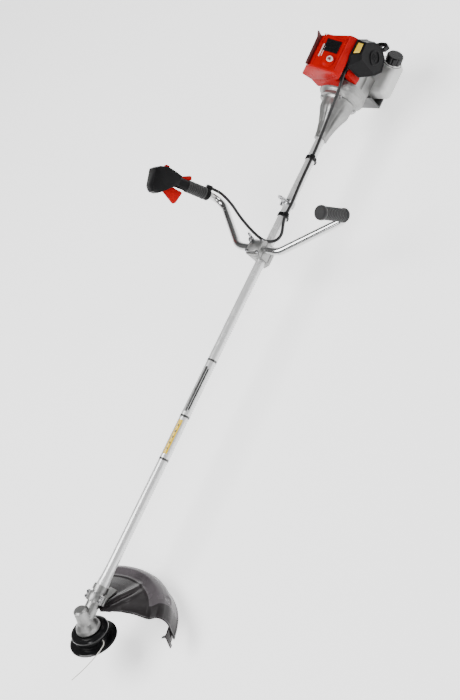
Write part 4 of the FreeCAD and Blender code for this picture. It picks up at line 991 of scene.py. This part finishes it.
# Points in millimetres that control the throttle cable's line, from the trigger to the carburettor.
CABLE_ROUTE = (
    (-154.2, -262.7, 64.7), (-158.1, -258.5, 47.6), (-151.0, -232.0, 40.0), (-122.0, -174.0, 40.0),
    (-92.0, -128.0, 40.0), (-67.0, -84.0, 38.0), (-46.0, -43.0, 31.0), (-32.0, -8.0, 24.0), (-30.0, 22.0, 22.0),
    (-42.0, 38.0, 15.0), (-66.0, 37.0, 8.0), (-92.0, 25.0, 7.5), (-114.0, 18.8, 9.7), (-138.0, 18.4, 10.0),
    (-166.0, 21.5, 11.5), (-206.0, 17.5, 11.0), (-250.0, 15.0, 11.5), (-294.0, 15.0, 12.0), (-350.0, 15.0, 14.5),
    (-396.0, 17.5, 22.0), (-440.0, 24.0, 34.0), (-476.0, 36.0, 50.0), (-508.0, 50.0, 68.0), (-536.0, 56.0, 81.0),
    (-560.0, 57.5, 86.5), (-582.0, 57.5, 86.5),
)
CABLE_R = 0.0045
ROPE_R = 0.002


def make_spring():
    """The coil under the spool, at one length; on the machine it shortens as the bump knob goes in."""
    points = []
    for i in range(SPRING_STEPS + 1):
        share = i / SPRING_STEPS
        angle = 2 * math.pi * SPRING_TURNS * share
        points.append(HEAD @ mm(SPRING_R * math.cos(angle), SPRING_R * math.sin(angle),
                                SPRING_TOP - SPRING_LENGTH * share))
    spring = new_piece("knob_spring", tube_along(points, 0.0006, 10), "spring_steel", "head",
                       replaces=("spool_spring",), smooth=60.0)
    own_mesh(spring)


def smooth_line(points):
    """Points along the NURBS line that a route's points control."""
    curve = bpy.data.curves.new("route", "CURVE")
    curve.dimensions = "3D"
    curve.resolution_u = 12
    spline = curve.splines.new("NURBS")
    spline.points.add(len(points) - 1)
    for target, point in zip(spline.points, points):
        target.co = (point.x, point.y, point.z, 1.0)
    spline.order_u = 3
    spline.use_endpoint_u = True
    holder = bpy.data.objects.new("route", curve)
    mesh = bpy.data.meshes.new_from_object(holder)
    line = [v.co.copy() for v in mesh.vertices]
    bpy.data.objects.remove(holder)
    bpy.data.curves.remove(curve)
    bpy.data.meshes.remove(mesh)
    return line


def make_cable():
    line = smooth_line([mm(*p) for p in CABLE_ROUTE])
    cable = new_piece("throttle_conduit", tube_along(line, CABLE_R, 20), "cable_sheath", None,
                      replaces=("throttle_cable",), smooth=60.0)
    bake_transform(cable)


def make_rope():
    line = [mm(-680, y, 30.4) for y in range(8, 63, 3)]
    rope = new_piece("pull_rope", tube_along(line, ROPE_R), "rope_fibre", None, replaces=("starter_rope",),
                     smooth=60.0)
    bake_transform(rope)


make_camera()
make_materials()
make_cable()
make_rope()
make_spring()
finish_cad_nodes()
make_guard()
make_shaft_trim()
make_cover()
make_filter()
make_engine_trim()
make_cap_tether()
make_grips()
make_stage()
